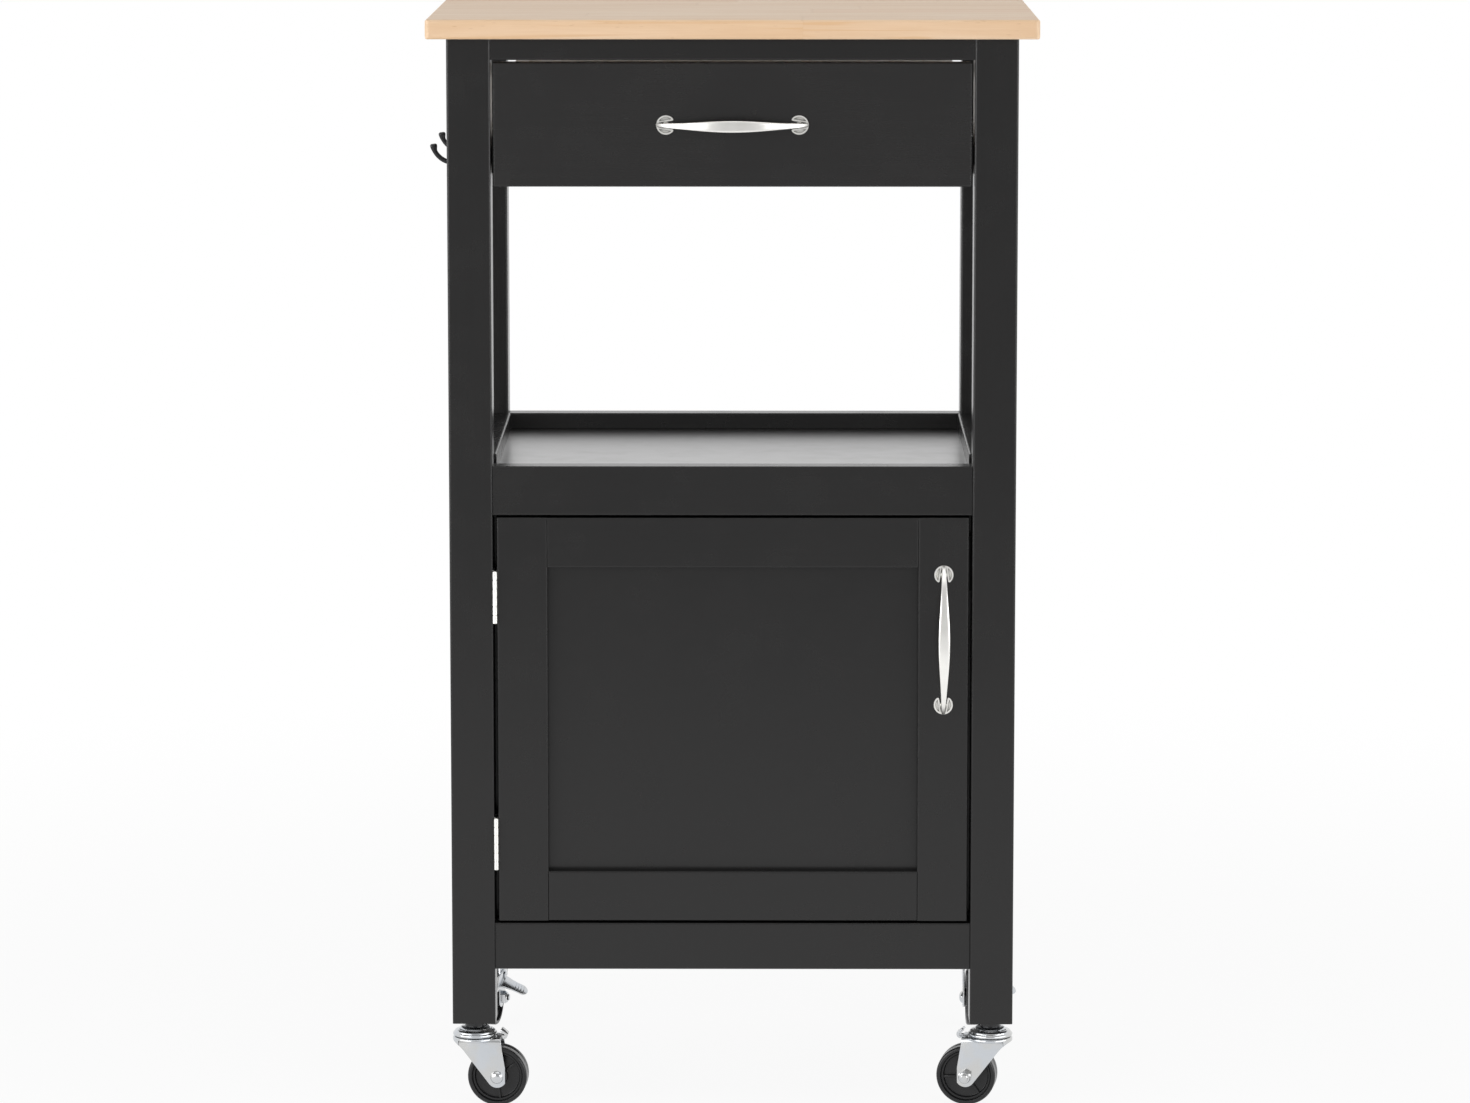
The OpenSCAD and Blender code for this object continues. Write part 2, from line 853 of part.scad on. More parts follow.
// Drawer side, grooved outside for its guide and inside for the bottom and the back.
// The outer groove ends behind the front, which stops the drawer when it is shut
module drawer_side(s) {
    x = [s * box_x, s * (box_x - box_t)];
    groove_x = [s * (guide_x - 0.5), s * (box_x + 1)];
    color(INSIDE)
        difference() {
            board([min(x), front_back_y - box_lap, box_z0], [max(x), box_y1, box_z1], "y", 1);
            block([min(groove_x), guide_y0 - groove_gap, guide_z - guide_h / 2 - groove_gap],
                  [max(groove_x), box_y1 + 1, guide_z + guide_h / 2 + groove_gap]);
            drawer_bottom_space();
            drawer_back_space();
        }
}

module drawer_side_left() { drawer_side(-1); }
module drawer_side_right() { drawer_side(1); }

module drawer_back() {
    color(INSIDE) drawer_back_space();
}

module drawer_bottom() {
    color(INSIDE) drawer_bottom_space();
}

// ---------------------------------------------------------------- door

module door_stile(x0, x1) {
    color(LACQUER)
        difference() {
            board([x0, face_y, door_z0], [x1, front_back_y, door_z1], "z");
            block([door_x0 + stile_w - tenon, door_panel_y, door_z0 - 1],
                  [door_x1 - stile_w + tenon, door_panel_y + door_panel_t, door_z1 + 1]);
            children();
        }
}

module door_stile_left() {
    door_stile(door_x0, door_x0 + stile_w) screw_holes(hinge_door_screws);
}

module door_stile_right() {
    door_stile(door_x1 - stile_w, door_x1) {
        pull_screw_places(true) translate([0, 0, -1]) cylinder(r = 2, h = front_t + 2);
        screw_holes(strike_screws);
    }
}

// Rail of the door's frame, with a tenon at each end that fills the stiles' grooves
module door_rail(z0, z1) {
    x = [door_x0 + stile_w, door_x1 - stile_w];
    color(LACQUER)
        difference() {
            union() {
                board([x[0], face_y, z0], [x[1], front_back_y, z1], "x");
                block([x[0] - tenon, door_panel_y, z0], [x[1] + tenon, door_panel_y + door_panel_t, z1]);
            }
            block([x[0] - tenon - 1, door_panel_y, door_z0 + stile_w - tenon],
                  [x[1] + tenon + 1, door_panel_y + door_panel_t, door_z1 - stile_w + tenon]);
        }
}

module door_rail_top() { door_rail(door_z1 - stile_w, door_z1); }
module door_rail_bottom() { door_rail(door_z0, door_z0 + stile_w); }

module door_panel() {
    in = stile_w - tenon;
    color(LACQUER)
        block([door_x0 + in, door_panel_y, door_z0 + in],
              [door_x1 - in, door_panel_y + door_panel_t, door_z1 - in]);
}

module strike_plate() {
    color(ZINC)
        difference() {
            board([strike_x[0], front_back_y, (catch_z[0] + catch_z[1]) / 2 - 17],
                  [strike_x[1], front_back_y + strike_t, (catch_z[0] + catch_z[1]) / 2 + 17], "y", 0.3);
            screw_holes(strike_screws);
        }
}

// ---------------------------------------------------------------- casters

// Threaded insert in the foot of a leg, with a flange that is flush with the wood
module leg_insert() {
    difference() {
        cylinder(r = insert_r, h = insert_h);
        translate([0, 0, -1]) cylinder(r = stem_r + run, h = insert_h + 2);
    }
}

// Stem with its dark collar above the cap and the riveted king pin below it
module caster_stem() {
    head_z = plate_z0 - 0.4;
    rotate_extrude()
        polygon([
            [0, head_z - 2.2], [6, head_z - 2.2], [7.6, head_z - 1], [7.6, head_z], [king_r, head_z],
            [king_r, cap_z0 + 8], [neck_r, cap_z0 + 8], [neck_r, caster_h - 0.4], [neck_r - 0.4, caster_h],
            [stem_r, caster_h], [stem_r, caster_h + 19], [stem_r - 1, caster_h + 20], [0, caster_h + 20]
        ]);
}

// Upper cap: a stepped dome with a rolled lip, which covers the ball race
module caster_cap() {
    rotate_extrude() {
        polygon([
            [king_r, cap_z0 + 1], [king_r, cap_z0 + 7.7], [neck_r + 0.3, cap_z0 + 7.7],
            [neck_r + 0.9, cap_z0 + 8.2], [12.2, cap_z0 + 7.9], [14.2, cap_z0 + 6.9],
            [15.3, cap_z0 + 5.6], [cap_r - 0.5, cap_z0 + 2.6], [cap_r - 1, cap_z0 + 1]
        ]);
        translate([cap_r - 1.6, cap_z0 + 1.6]) circle(1.6);
    }
}

module caster_places() {
    for (c = leg_signs) translate([c.x * leg_x, c.y * leg_y, 0]) children();
}

module caster_stems() { color(BLACK) caster_places() caster_stem(); }
module caster_caps() { color(ZINC) caster_places() caster_cap(); }

// Where the line from point p touches the circle round c, on the side given by s
function touch(p, c, r, s) =
    let (v = p - c, d = norm(v), a = atan2(v.y, v.x) + s * acos(r / d))
    c + r * [cos(a), sin(a)];

fork_low = [trail, axle_z - 0.8];
fork_low_r = 8.2;
fork_back_edge = [22.8, plate_z0 - 1.3];
fork_front_edge = [-6.6, 45];
fork_end = 22.8;

// Curve of the fork's lower edge in front, from the diagonal of the cheek up to the round rim
fork_sweep = [[-6.6, 45], [-9.4, 48.6], [-12, 51.3], [-14.6, 53.3], [-19.5, 55.4]];

// Side view of the fork: cheeks that taper to a round end at the axle, under a top that runs on behind
module fork_side() {
    a = touch(fork_back_edge, fork_low, fork_low_r, -1);
    b = touch(fork_front_edge, fork_low, fork_low_r, 1);
    polygon(concat(
        fork_sweep,
        [[-19.5, plate_z1 + 1], [fork_end, plate_z1 + 1], fork_back_edge, a, fork_low, b]
    ));
    translate(fork_low) circle(fork_low_r);
}

// Arch with rounded shoulders, wide and high as given
module fork_arch(half, top, r) {
    translate([-half, 0]) square([2 * half, top - r]);
    translate([r - half, 0]) square([2 * (half - r), top]);
    for (s = [-1, 1]) translate([s * (half - r), top - r]) circle(r);
}

// Tongue behind the stem, which runs on from the top, turns up and folds back towards the cap
module fork_tongue() {
    translate([0, fork_tongue_w / 2, 0]) rotate([90, 0, 0]) linear_extrude(fork_tongue_w)
        polygon([
            [19, plate_z0], [24.5, plate_z0], [26.6, plate_z0 + 0.6], [27.8, plate_z0 + 2],
            [28, plate_z0 + 4.2], [23, plate_z0 + 8.1], [21.6, plate_z0 + 6.8], [25.1, plate_z0 + 4],
            [24.9, plate_z0 + 2.9], [23.8, plate_z1], [19, plate_z1]
        ]);
}

// Pressed channel: the arch of its section, cut off by its side view
module fork_channel() {
    intersection() {
        translate([-13.6, 0, 0]) rotate([90, 0, 90]) linear_extrude(40) difference() {
            fork_arch(cheek_out, plate_z1, fork_bend_r);
            translate([0, -1]) fork_arch(cheek_y, plate_z0 + 1, fork_bend_r - cheek_t);
        }
        translate([0, 20, 0]) rotate([90, 0, 0]) linear_extrude(40) fork_side();
    }
}

// Round rim with its rolled edge, and the skirt that runs down from it into the cheeks
module fork_rim() {
    translate([0, 0, plate_z0]) cylinder(r = fork_r - 1, h = plate_z1 - plate_z0);
    rotate_extrude() translate([fork_r - 1.5, plate_z0 + 0.5]) circle(1.5);
    intersection() {
        translate([0, 0, plate_z0 - 8]) difference() {
            cylinder(r = fork_r - 0.1, h = 9);
            translate([0, 0, -1]) cylinder(r = fork_r - 2.1, h = 11);
        }
        translate([0, 20, 0]) rotate([90, 0, 0]) linear_extrude(40) fork_side();
        translate([-20, -20, 0]) cube([7.2, 40, plate_z1]);
    }
}

// Stamped fork of a swivel caster, with the brake's rivet on the outside of one cheek
module fork(braked) {
    difference() {
        union() {
            fork_rim();
            fork_channel();
            fork_tongue();
            if (braked) translate([brake_x, cheek_out - eps, brake_z]) rotate([-90, 0, 0]) {
                cylinder(r = brake_pin_r, h = 2.4);
                translate([0, 0, 2.2]) cylinder(r1 = 3.6, r2 = 2.4, h = 1.2);
            }
        }
        translate([0, 0, plate_z0 - 2]) cylinder(r = king_r + run, h = 6);
        translate([trail, 0, axle_z]) rotate([90, 0, 0])
            cylinder(r = axle_r + fit, h = 60, center = true);
    }
}

// Axle bolt with a domed head on one side and a lock nut on the other
module axle() {
    translate([trail, -cheek_out, axle_z]) rotate([-90, 0, 0]) {
        rotate_extrude() {
            polygon([[0, -3], [2.6, -2.8], [4.4, -1.8], [5.4, -0.4], [5.4, 0], [0, 0]]);
            square([axle_r, 2 * cheek_out + 7]);
        }
    }
    translate([trail, cheek_out, axle_z]) rotate([-90, 0, 0]) axle_nut();
}

module axle_nut() {
    difference() {
        union() {
            cylinder(r = 5.77, h = 4, $fn = 6);
            translate([0, 0, 4]) cylinder(r1 = 4.9, r2 = 4.2, h = 1.4);
        }
        translate([0, 0, -1]) cylinder(r = axle_r + fit, h = 8);
    }
}

hub_r = 8.4;
rim_r = 20.4;
web_y = 4.6;
step_y = 7.6;
spokes = 3;

// Moulded wheel: a tread ring with soft shoulders, a stepped rim, and a ribbed web round its hub
module wheel(rib_turn) {
    r = wheel_d / 2;
    h = wheel_w / 2;
    translate([trail, 0, axle_z]) rotate([90, 0, 0])
        difference() {
            union() {
                rotate_extrude() wheel_section(r, h);
                for (k = [0:spokes - 1], s = [-1, 1])
                    rotate(k * 360 / spokes + rib_turn) translate([hub_r - 1, -0.8, s < 0 ? -step_y : 0])
                        cube([rim_r - hub_r, 1.6, step_y]);
            }
            cylinder(r = axle_r + run, h = 3 * h, center = true);
        }
}

module wheel_section(r, h) {
    shoulder = 2.2;
    square([hub_r, h + 0.7]);
    mirror([0, 1]) square([hub_r, h + 0.7]);
    translate([0, -web_y]) square([rim_r, 2 * web_y]);
    translate([rim_r - 1.6, -step_y]) square([3, 2 * step_y]);
    translate([rim_r, -h]) square([r - rim_r - shoulder, 2 * h]);
    translate([rim_r, -h + shoulder]) square([r - rim_r, 2 * (h - shoulder)]);
    for (s = [-1, 1]) translate([r - shoulder, s * (h - shoulder)]) circle(shoulder);
}

shoe_r = wheel_d / 2 + 3.2;
shoe_t = 1.6;
shoe_from = 24;
shoe_to = 44;
pedal_drop = 9;

// Brake lever on the cheek's outer face: a plate on its rivet, a shoe over the tread and a pedal
module brake_lever() {
    lever_y = cheek_out + 0.3;
    lever_t = 1.6;
    axle_p = [trail, axle_z];
    shoe_over = shoe_r + shoe_t + 0.8;
    // plate
    translate([0, lever_y + lever_t, 0]) rotate([90, 0, 0]) linear_extrude(lever_t)
        difference() {
            union() {
                translate([brake_x, brake_z]) circle(4.6);
                polygon([
                    [brake_x - 4.4, brake_z + 1.4], [brake_x + 4, brake_z + 4],
                    axle_p + shoe_over * [cos(shoe_to + 3), sin(shoe_to + 3)],
                    axle_p + shoe_over * [cos(shoe_from - 3), sin(shoe_from - 3)],
                    axle_p + (shoe_r - 1) * [cos(shoe_from - 3), sin(shoe_from - 3)],
                    [brake_x + 8, brake_z - pedal_drop], [brake_x - 4.4, brake_z - pedal_drop]
                ]);
            }
            translate([brake_x, brake_z]) circle(brake_pin_r + run);
        }
    // shoe, bent in over the tread
    translate([trail, 0, axle_z]) rotate([90, 0, 0]) rotate(shoe_from)
        translate([0, 0, -lever_y - lever_t / 2]) linear_extrude(lever_y + lever_t / 2 + 8)
            shoe_outline();
    // pedal, bent out and sloping down
    translate([brake_x + 1.8, lever_y + 0.2, brake_z - pedal_drop]) rotate([-36, 0, 0])
        linear_extrude(lever_t) pedal_outline();
}

// Ring sector of the shoe, from its start angle at zero
module shoe_outline() {
    span = shoe_to - shoe_from;
    far = 2 * shoe_r;
    intersection() {
        difference() {
            circle(shoe_r + shoe_t);
            circle(shoe_r);
        }
        polygon([[0, 0], [far, 0], [far, far * tan(span)]]);
    }
}

module pedal_outline() {
    polygon([[-6.2, 0], [6.2, 0], [5.6, 14], [5.6, 20], [-5.6, 20], [-5.6, 14]]);
    translate([0, 20]) circle(5.6);
}

// Puts a caster's turning parts under the leg with the given number
module under_leg(i) {
    translate([leg_signs[i].x * leg_x, leg_signs[i].y * leg_y, 0]) rotate(caster_turn[i]) children();
}

module fork_front_left() { color(ZINC) under_leg(0) fork(false); }
module fork_front_right() { color(ZINC) under_leg(1) fork(false); }
module fork_back_left() { color(ZINC) under_leg(2) fork(true); }
module fork_back_right() { color(ZINC) under_leg(3) fork(true); }
module axle_front_left() { color(ZINC) under_leg(0) axle(); }
module axle_front_right() { color(ZINC) under_leg(1) axle(); }
module axle_back_left() { color(ZINC) under_leg(2) axle(); }
module axle_back_right() { color(ZINC) under_leg(3) axle(); }
module wheel_front_left() { color(BLACK) under_leg(0) wheel(wheel_turn[0]); }
module wheel_front_right() { color(BLACK) under_leg(1) wheel(wheel_turn[1]); }
module wheel_back_left() { color(BLACK) under_leg(2) wheel(wheel_turn[2]); }
module wheel_back_right() { color(BLACK) under_leg(3) wheel(wheel_turn[3]); }
module brake_back_left() { color(ZINC) under_leg(2) brake_lever(); }
module brake_back_right() { color(ZINC) under_leg(3) brake_lever(); }

// ---------------------------------------------------------------- drawing

top_board();
leg_front_left();
leg_front_right();
leg_back_left();
leg_back_right();
top_rail_front();
top_rail_back();
top_rails_side();
hook_rail();
runner_rail();
drawer_guides();
shelf_panel();
shelf_rail_front();
shelf_rail_back();
side_panel_left();
side_panel_right();
back_panel();
bottom_panel();
bottom_rail_front();
bottom_rail_back();
inner_shelf();
shelf_pins();
magnet_catch();
side_hooks();
wood_screws();
frame_bolts();
frame_nuts();
hinge_leg_leaves();
caster_stems();
caster_caps();
drawer_front();
drawer_side_left();
drawer_side_right();
drawer_back();
drawer_bottom();
drawer_pull();
drawer_screws();
door_stile_left();
door_stile_right();
door_rail_top();
door_rail_bottom();
door_panel();
door_pull();
door_screws();
hinge_door_leaves();
strike_plate();
fork_front_left();
fork_front_right();
fork_back_left();
fork_back_right();
axle_front_left();
axle_front_right();
axle_back_left();
axle_back_right();
wheel_front_left();
wheel_front_right();
wheel_back_left();
wheel_back_right();
brake_back_left();
brake_back_right();
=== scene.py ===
"""Finishes and fine parts of the kitchen island cart, laid out as an add-on."""

import functools
import json
import math

import bpy
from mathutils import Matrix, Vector


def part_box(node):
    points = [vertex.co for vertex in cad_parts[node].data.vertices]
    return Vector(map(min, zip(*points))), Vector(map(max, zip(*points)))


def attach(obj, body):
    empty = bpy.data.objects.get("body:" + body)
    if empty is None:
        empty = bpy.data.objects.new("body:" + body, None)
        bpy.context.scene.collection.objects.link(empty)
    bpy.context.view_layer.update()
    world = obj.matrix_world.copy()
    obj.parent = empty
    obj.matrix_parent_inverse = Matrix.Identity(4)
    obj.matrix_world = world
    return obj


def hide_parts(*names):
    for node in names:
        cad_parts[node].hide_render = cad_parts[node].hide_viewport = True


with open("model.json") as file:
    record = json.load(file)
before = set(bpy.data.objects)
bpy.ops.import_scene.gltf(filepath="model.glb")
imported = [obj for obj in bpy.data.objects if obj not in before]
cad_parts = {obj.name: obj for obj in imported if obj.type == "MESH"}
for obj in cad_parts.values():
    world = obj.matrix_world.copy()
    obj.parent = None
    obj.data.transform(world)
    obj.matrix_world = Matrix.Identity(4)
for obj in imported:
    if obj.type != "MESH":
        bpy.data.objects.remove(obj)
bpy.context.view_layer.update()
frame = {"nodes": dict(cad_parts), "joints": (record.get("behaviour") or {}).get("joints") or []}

bl_info = {
    "name": "Kitchen island cart",
    "version": (1, 0, 0),
    "blender": (4, 5, 0),
    "location": "View3D > Sidebar > Island cart",
    "description": "Finishes the island cart and models its pulls, hooks and casters",
    "category": "Object",
}

MM = 0.001
CORNERS = ("front_left", "front_right", "back_left", "back_right")
JOINTS = {joint["name"]: joint for joint in frame["joints"]}

# Edges flatter than this many degrees are shaded smooth, on most pieces and on casters.
SMOOTH, SMOOTH_CASTER = 32.0, 28.0


# ------------------------------------------------------------------ sizes and colours


def length(name, description, millimetres):
    """A size that a user may change."""
    return bpy.props.FloatProperty(
        name=name, description=description, default=millimetres * MM, unit="LENGTH"
    )


def colour(name, description, red, green, blue):
    """A colour that a user may change."""
    return bpy.props.FloatVectorProperty(
        name=name, description=description, default=(red, green, blue), size=3,
        min=0.0, max=1.0, subtype="COLOR",
    )


class ISLANDCART_PG_sizes(bpy.types.PropertyGroup):
    """Sizes of the fine parts."""

    bar_width: length("Bar width", "Width of a pull's bar at its middle", 9.8)
    bar_neck: length("Bar neck", "Width of a pull's bar where it meets its foot", 4.5)
    bar_depth: length("Bar depth", "Thickness of a pull's bar at its middle", 5.4)
    foot_radius: length("Foot radius", "Radius of a pull's round foot", 7.9)
    prong_radius: length("Prong radius", "Radius of a hook's prong", 2.0)
    bend_radius: length("Bend radius", "Radius that a hook's prong is bent to", 18.5)
    sheet: length("Sheet", "Thickness of the casters' pressed sheet", 2.0)
    cheek: length("Cheek", "Distance of a fork's cheek from the caster's middle", 11.0)
    tread: length("Tread", "Half of the width of a wheel's tread", 10.0)
    rim_step: length("Rim step", "Half of the width across a wheel's inner ring", 7.6)
    web: length("Web", "Half of the thickness of a wheel's web", 4.6)


class ISLANDCART_PG_colours(bpy.types.PropertyGroup):
    """Colours of the finishes."""

    lacquer: colour("Lacquer", "Black satin lacquer", 0.0082, 0.0080, 0.0080)
    timber: colour("Timber", "Pale wood of the worktop", 0.92, 0.71, 0.50)
    box_wood: colour("Box wood", "Pale wood inside the drawer", 0.74, 0.745, 0.74)
    nickel: colour("Nickel", "Satin nickel of pulls and hinges", 0.95, 0.94, 0.91)
    zinc: colour("Zinc", "Bright zinc plate", 0.60, 0.62, 0.64)
    enamel: colour("Enamel", "Black enamel on steel", 0.010, 0.010, 0.011)
    moulded: colour("Moulded", "Black moulded wheels and catch", 0.013, 0.013, 0.014)
    floor: colour("Floor", "Pale studio floor", 0.86, 0.86, 0.86)


# ------------------------------------------------------------------ shader expressions


class Signal:
    """A socket's value; arithmetic on it adds Math nodes to its finish."""

    def __init__(self, wiring, socket):
        self.wiring = wiring
        self.socket = socket

    def __add__(self, other):
        return self.wiring.maths("ADD", self, other)

    def __rsub__(self, other):
        return self.wiring.maths("SUBTRACT", other, self)

    def __mul__(self, other):
        return self.wiring.maths("MULTIPLY", self, other)

    def __truediv__(self, other):
        return self.wiring.maths("DIVIDE", self, other)

    def floored(self):
        """The whole number below."""
        return self.wiring.maths("FLOOR", self)

    def folded(self):
        """The distance to the nearest whole number."""
        return self.wiring.maths("PINGPONG", self, 0.5)

    __radd__ = __add__


class Wiring:
    """A node tree that shader expressions are drawn in."""

    def __init__(self, tree):
        self.nodes = tree.nodes
        self.links = tree.links

    def node(self, kind, settings=None, sockets=None, out=0):
        """Adds a node, sets it, feeds its sockets and returns one of its outputs."""
        made = self.nodes.new(kind)
        for setting, value in (settings or {}).items():
            setattr(made, setting, value)
        for socket, value in (sockets or {}).items():
            if isinstance(value, Signal):
                self.links.new(value.socket, made.inputs[socket])
            else:
                made.inputs[socket].default_value = value
        return Signal(self, made.outputs[out])

    def maths(self, operation, *values):
        """Arithmetic on values."""
        return self.node("ShaderNodeMath", {"operation": operation}, dict(enumerate(values)))

    @functools.cached_property
    def place(self):
        """The place on the piece, in metres."""
        return self.node("ShaderNodeTexCoord", out="Object")

    def stretched(self, factors, shift):
        """The place multiplied along each axis, so that a pattern is drawn out, and then shifted."""
        kind = "ShaderNodeVectorMath"
        scaled = self.node(kind, {"operation": "MULTIPLY"}, {0: self.place, 1: factors})
        return self.node(kind, {"operation": "ADD"}, {0: scaled, 1: shift})

    def noise(self, fineness, detail=2.0, roughness=0.5, distortion=0.0, shift=(0.0, 0.0, 0.0)):
        """Cloudy noise from 0 to 1, with one fineness all over or one along each axis."""
        factors = fineness if isinstance(fineness, tuple) else (fineness,) * 3
        return self.node(
            "ShaderNodeTexNoise", None,
            {"Vector": self.stretched(factors, shift), "Scale": 1.0, "Detail": detail,
             "Roughness": roughness, "Distortion": distortion},
        )

    def between(self, value, low, high, to_low=0.0, to_high=1.0):
        """The value mapped smoothly from one range to another."""
        return self.node(
            "ShaderNodeMapRange", {"interpolation_type": "SMOOTHSTEP"},
            {"Value": value, "From Min": low, "From Max": high, "To Min": to_low, "To Max": to_high},
        )

    def mixed(self, amount, first, second, blend="MIX"):
        """Two colours mixed by an amount."""
        first, second = (one if isinstance(one, Signal) else (*one, 1.0) for one in (first, second))
        return self.node(
            "ShaderNodeMix", {"data_type": "RGBA", "blend_type": blend},
            {0: amount, 6: first, 7: second}, out=2,
        )

    def either(self, amount, first, second):
        """Two shaders mixed by an amount."""
        return self.node("ShaderNodeMixShader", None, {0: amount, 1: first, 2: second})

    def light_path(self, *kinds):
        """1 for rays of any of these kinds, and otherwise 0."""
        path = self.nodes.new("ShaderNodeLightPath")
        rays = [Signal(self, path.outputs[f"Is {kind} Ray"]) for kind in kinds]
        return functools.reduce(lambda one, other: self.maths("MAXIMUM", one, other), rays)

    def painted_crevice_shade(self, depth):
        """1 in grooves narrower than a depth, and otherwise 0: a mask for shade painted into the colour.
        """
        settings = {"samples": 8, "only_local": True}
        open_sky = self.node("ShaderNodeAmbientOcclusion", settings, {"Distance": depth}, out=1)
        return self.between(open_sky, 0.35, 0.85, 1.0, 0.0)

    def eased(self, radius):
        """The surface's direction, with sharp edges shaded as if rubbed round."""
        return self.node("ShaderNodeBevel", {"samples": 4}, {"Radius": radius})

    def bump(self, height, depth, strength, under=None):
        """Raises the surface by up to the depth, in metres, where the height is 1."""
        sockets = {"Height": height, "Distance": depth, "Strength": strength}
        if under is not None:
            sockets["Normal"] = under
        return self.node("ShaderNodeBump", None, sockets)


class Finish(Wiring):
    """A material that is built up from nodes."""

    def __init__(self, name, **constants):
        self.material = bpy.data.materials.new(name)
        self.material.use_nodes = True
        super().__init__(self.material.node_tree)
        self.shader = self.nodes["Principled BSDF"]
        self.feed(**constants)

    def feed(self, **values):
        """Feeds the shader's own sockets with values or signals."""
        for name, value in values.items():
            socket = self.shader.inputs[name.replace("_", " ")]
            if isinstance(value, Signal):
                self.links.new(value.socket, socket)
            else:
                socket.default_value = value


def tinted(base, red, green, blue):
    """A colour times a factor for each channel."""
    return tuple(channel * factor for channel, factor in zip(base, (red, green, blue)))


def along(run, fine, long):
    """Finenesses for a grain that runs along an axis."""
    return tuple(long if axis == run else fine for axis in "xyz")


# ------------------------------------------------------------------ finishes


def black_lacquer(name, base, run, seed, roughness=0.2, ior=1.47, coat=0.0):
    """Satin lacquer sprayed on wood whose grain runs along an axis and shows through faintly."""
    finish = Finish(name, IOR=ior, Coat_Weight=coat, Coat_IOR=ior, Coat_Roughness=roughness)
    noise = functools.partial(finish.noise, shift=(seed, 2.7 * seed, 1.3 * seed))
    grain = noise(60.0, 3.0) if run == "flat" else noise(along(run, 420.0, 9.0), 4.0, 0.62)
    cloud = noise(9.0)
    peel = noise(650.0, 1.0)
    handled = finish.between(noise(28.0, 5.0), 0.45, 0.75)
    finish.feed(
        Base_Color=finish.mixed(
            cloud * 0.5 + grain * 0.35, tinted(base, 0.82, 0.82, 0.84), tinted(base, 1.32, 1.26, 1.22)
        ),
        Roughness=roughness + cloud * 0.05 + grain * 0.05 + handled * 0.045,
        Normal=finish.bump(grain, 0.00012, 0.18, finish.bump(peel, 0.00003, 0.2, finish.eased(0.0016))),
    )
    return finish.material


def glued_staves(name, base, stave, piece, sheen, run="x", across="y"):
    """Pale wood glued up from staves, each made of finger-jointed pieces with their own tone."""
    finger = 0.0045
    finish = Finish(name, IOR=1.46)
    split = {
        axis: finish.node("ShaderNodeSeparateXYZ", None, {0: finish.place}, out=axis) for axis in "XYZ"
    }
    sideways, endways = split[across.upper()], split[run.upper()]

    def combined(*parts):
        return finish.node("ShaderNodeCombineXYZ", None, dict(enumerate(parts)))

    def random_tone(dimensions, **sockets):
        return finish.node("ShaderNodeTexWhiteNoise", {"noise_dimensions": dimensions}, sockets)

    stave_place = sideways / stave + 0.5
    row = stave_place.floored()
    comb = (sideways * (1.0 / finger)).folded()
    jointed = endways / piece + random_tone("1D", W=row * 3.17 + 0.4) * 5.0 + comb * 0.012
    block = jointed.floored()
    tone = random_tone("2D", Vector=combined(row, block, 0.0))
    second = random_tone("2D", Vector=combined(block, row, 0.0))
    own = combined(tone * 7.0, second * 9.0, row * 1.7)

    streaks = finish.noise(along(run, 75.0, 5.0), 5.0, 0.62, 0.35, own)
    fibre = finish.noise(along(run, 900.0, 26.0), 2.0, 0.6, 0.0, own)
    veins = finish.noise(along(run, 210.0, 4.0), 3.0, 0.55, 0.8, own)
    pores = finish.node(
        "ShaderNodeTexVoronoi", {"feature": "F1"},
        {"Vector": finish.stretched(along(run, 430.0, 62.0), own), "Scale": 1.0},
    )
    pore = finish.between(pores, 0.02, 0.2, 1.0, 0.0) * finish.between(streaks, 0.42, 0.6)
    seam = finish.between(stave_place.folded(), 0.0, 0.012, 1.0, 0.0)
    joint = finish.between(jointed.folded(), 0.0, 0.0022, 1.0, 0.0)

    def stained(amount, wood, *tint):
        return finish.mixed(amount, wood, tinted(base, *tint))

    def shaded(amount, wood, *tint):
        return finish.mixed(amount, wood, finish.mixed(1.0, wood, tint, "MULTIPLY"))

    wood = stained(finish.between(streaks, 0.3, 0.72), tinted(base, 1.04, 1.06, 1.1), 0.95, 0.9, 0.84)
    wood = shaded(tone, wood, 0.95, 0.9, 0.86)
    wood = shaded(second * 0.6, wood, 1.0, 0.95, 0.9)
    wood = stained(finish.between(fibre, 0.35, 0.75) * 0.22, wood, 0.80, 0.70, 0.58)
    wood = stained(finish.between(veins, 0.53, 0.64) * 0.75, wood, 0.87, 0.73, 0.57)
    wood = stained(finish.maths("MAXIMUM", seam * 0.28, joint * 0.4), wood, 0.62, 0.48, 0.36)
    finish.feed(
        Base_Color=stained(pore * 0.55, wood, 0.55, 0.40, 0.28),
        Roughness=sheen + fibre * 0.1 + pore * 0.12,
        Normal=finish.bump(1.0 - pore, 0.00012, 0.25, finish.bump(fibre, 0.00005, 0.2)),
    )
    return finish.material


def nickel(base, run):
    """Satin nickel with fine brushing along an axis, and shade painted dark into its grooves."""
    finish = Finish(f"satin nickel, brushed along {run}", Metallic=1.0)
    brushed = finish.noise(along(run, 5200.0, 160.0), 2.0, 0.7)
    cloud = finish.noise(130.0, 3.0)
    polished = finish.mixed(cloud, tinted(base, 0.95, 0.95, 0.94), tinted(base, 1.05, 1.05, 1.05))
    finish.feed(
        # Painted shade: the colour goes nearly black in grooves and dishes, where ambient occlusion
        # finds them.
        Base_Color=finish.mixed(finish.painted_crevice_shade(0.0036) * 0.9, polished, tinted(base, 0.12, 0.12, 0.11)),
        Roughness=0.24 + brushed * 0.07 + cloud * 0.05,
        Normal=finish.bump(brushed, 0.00002, 0.12),
    )
    return finish.material


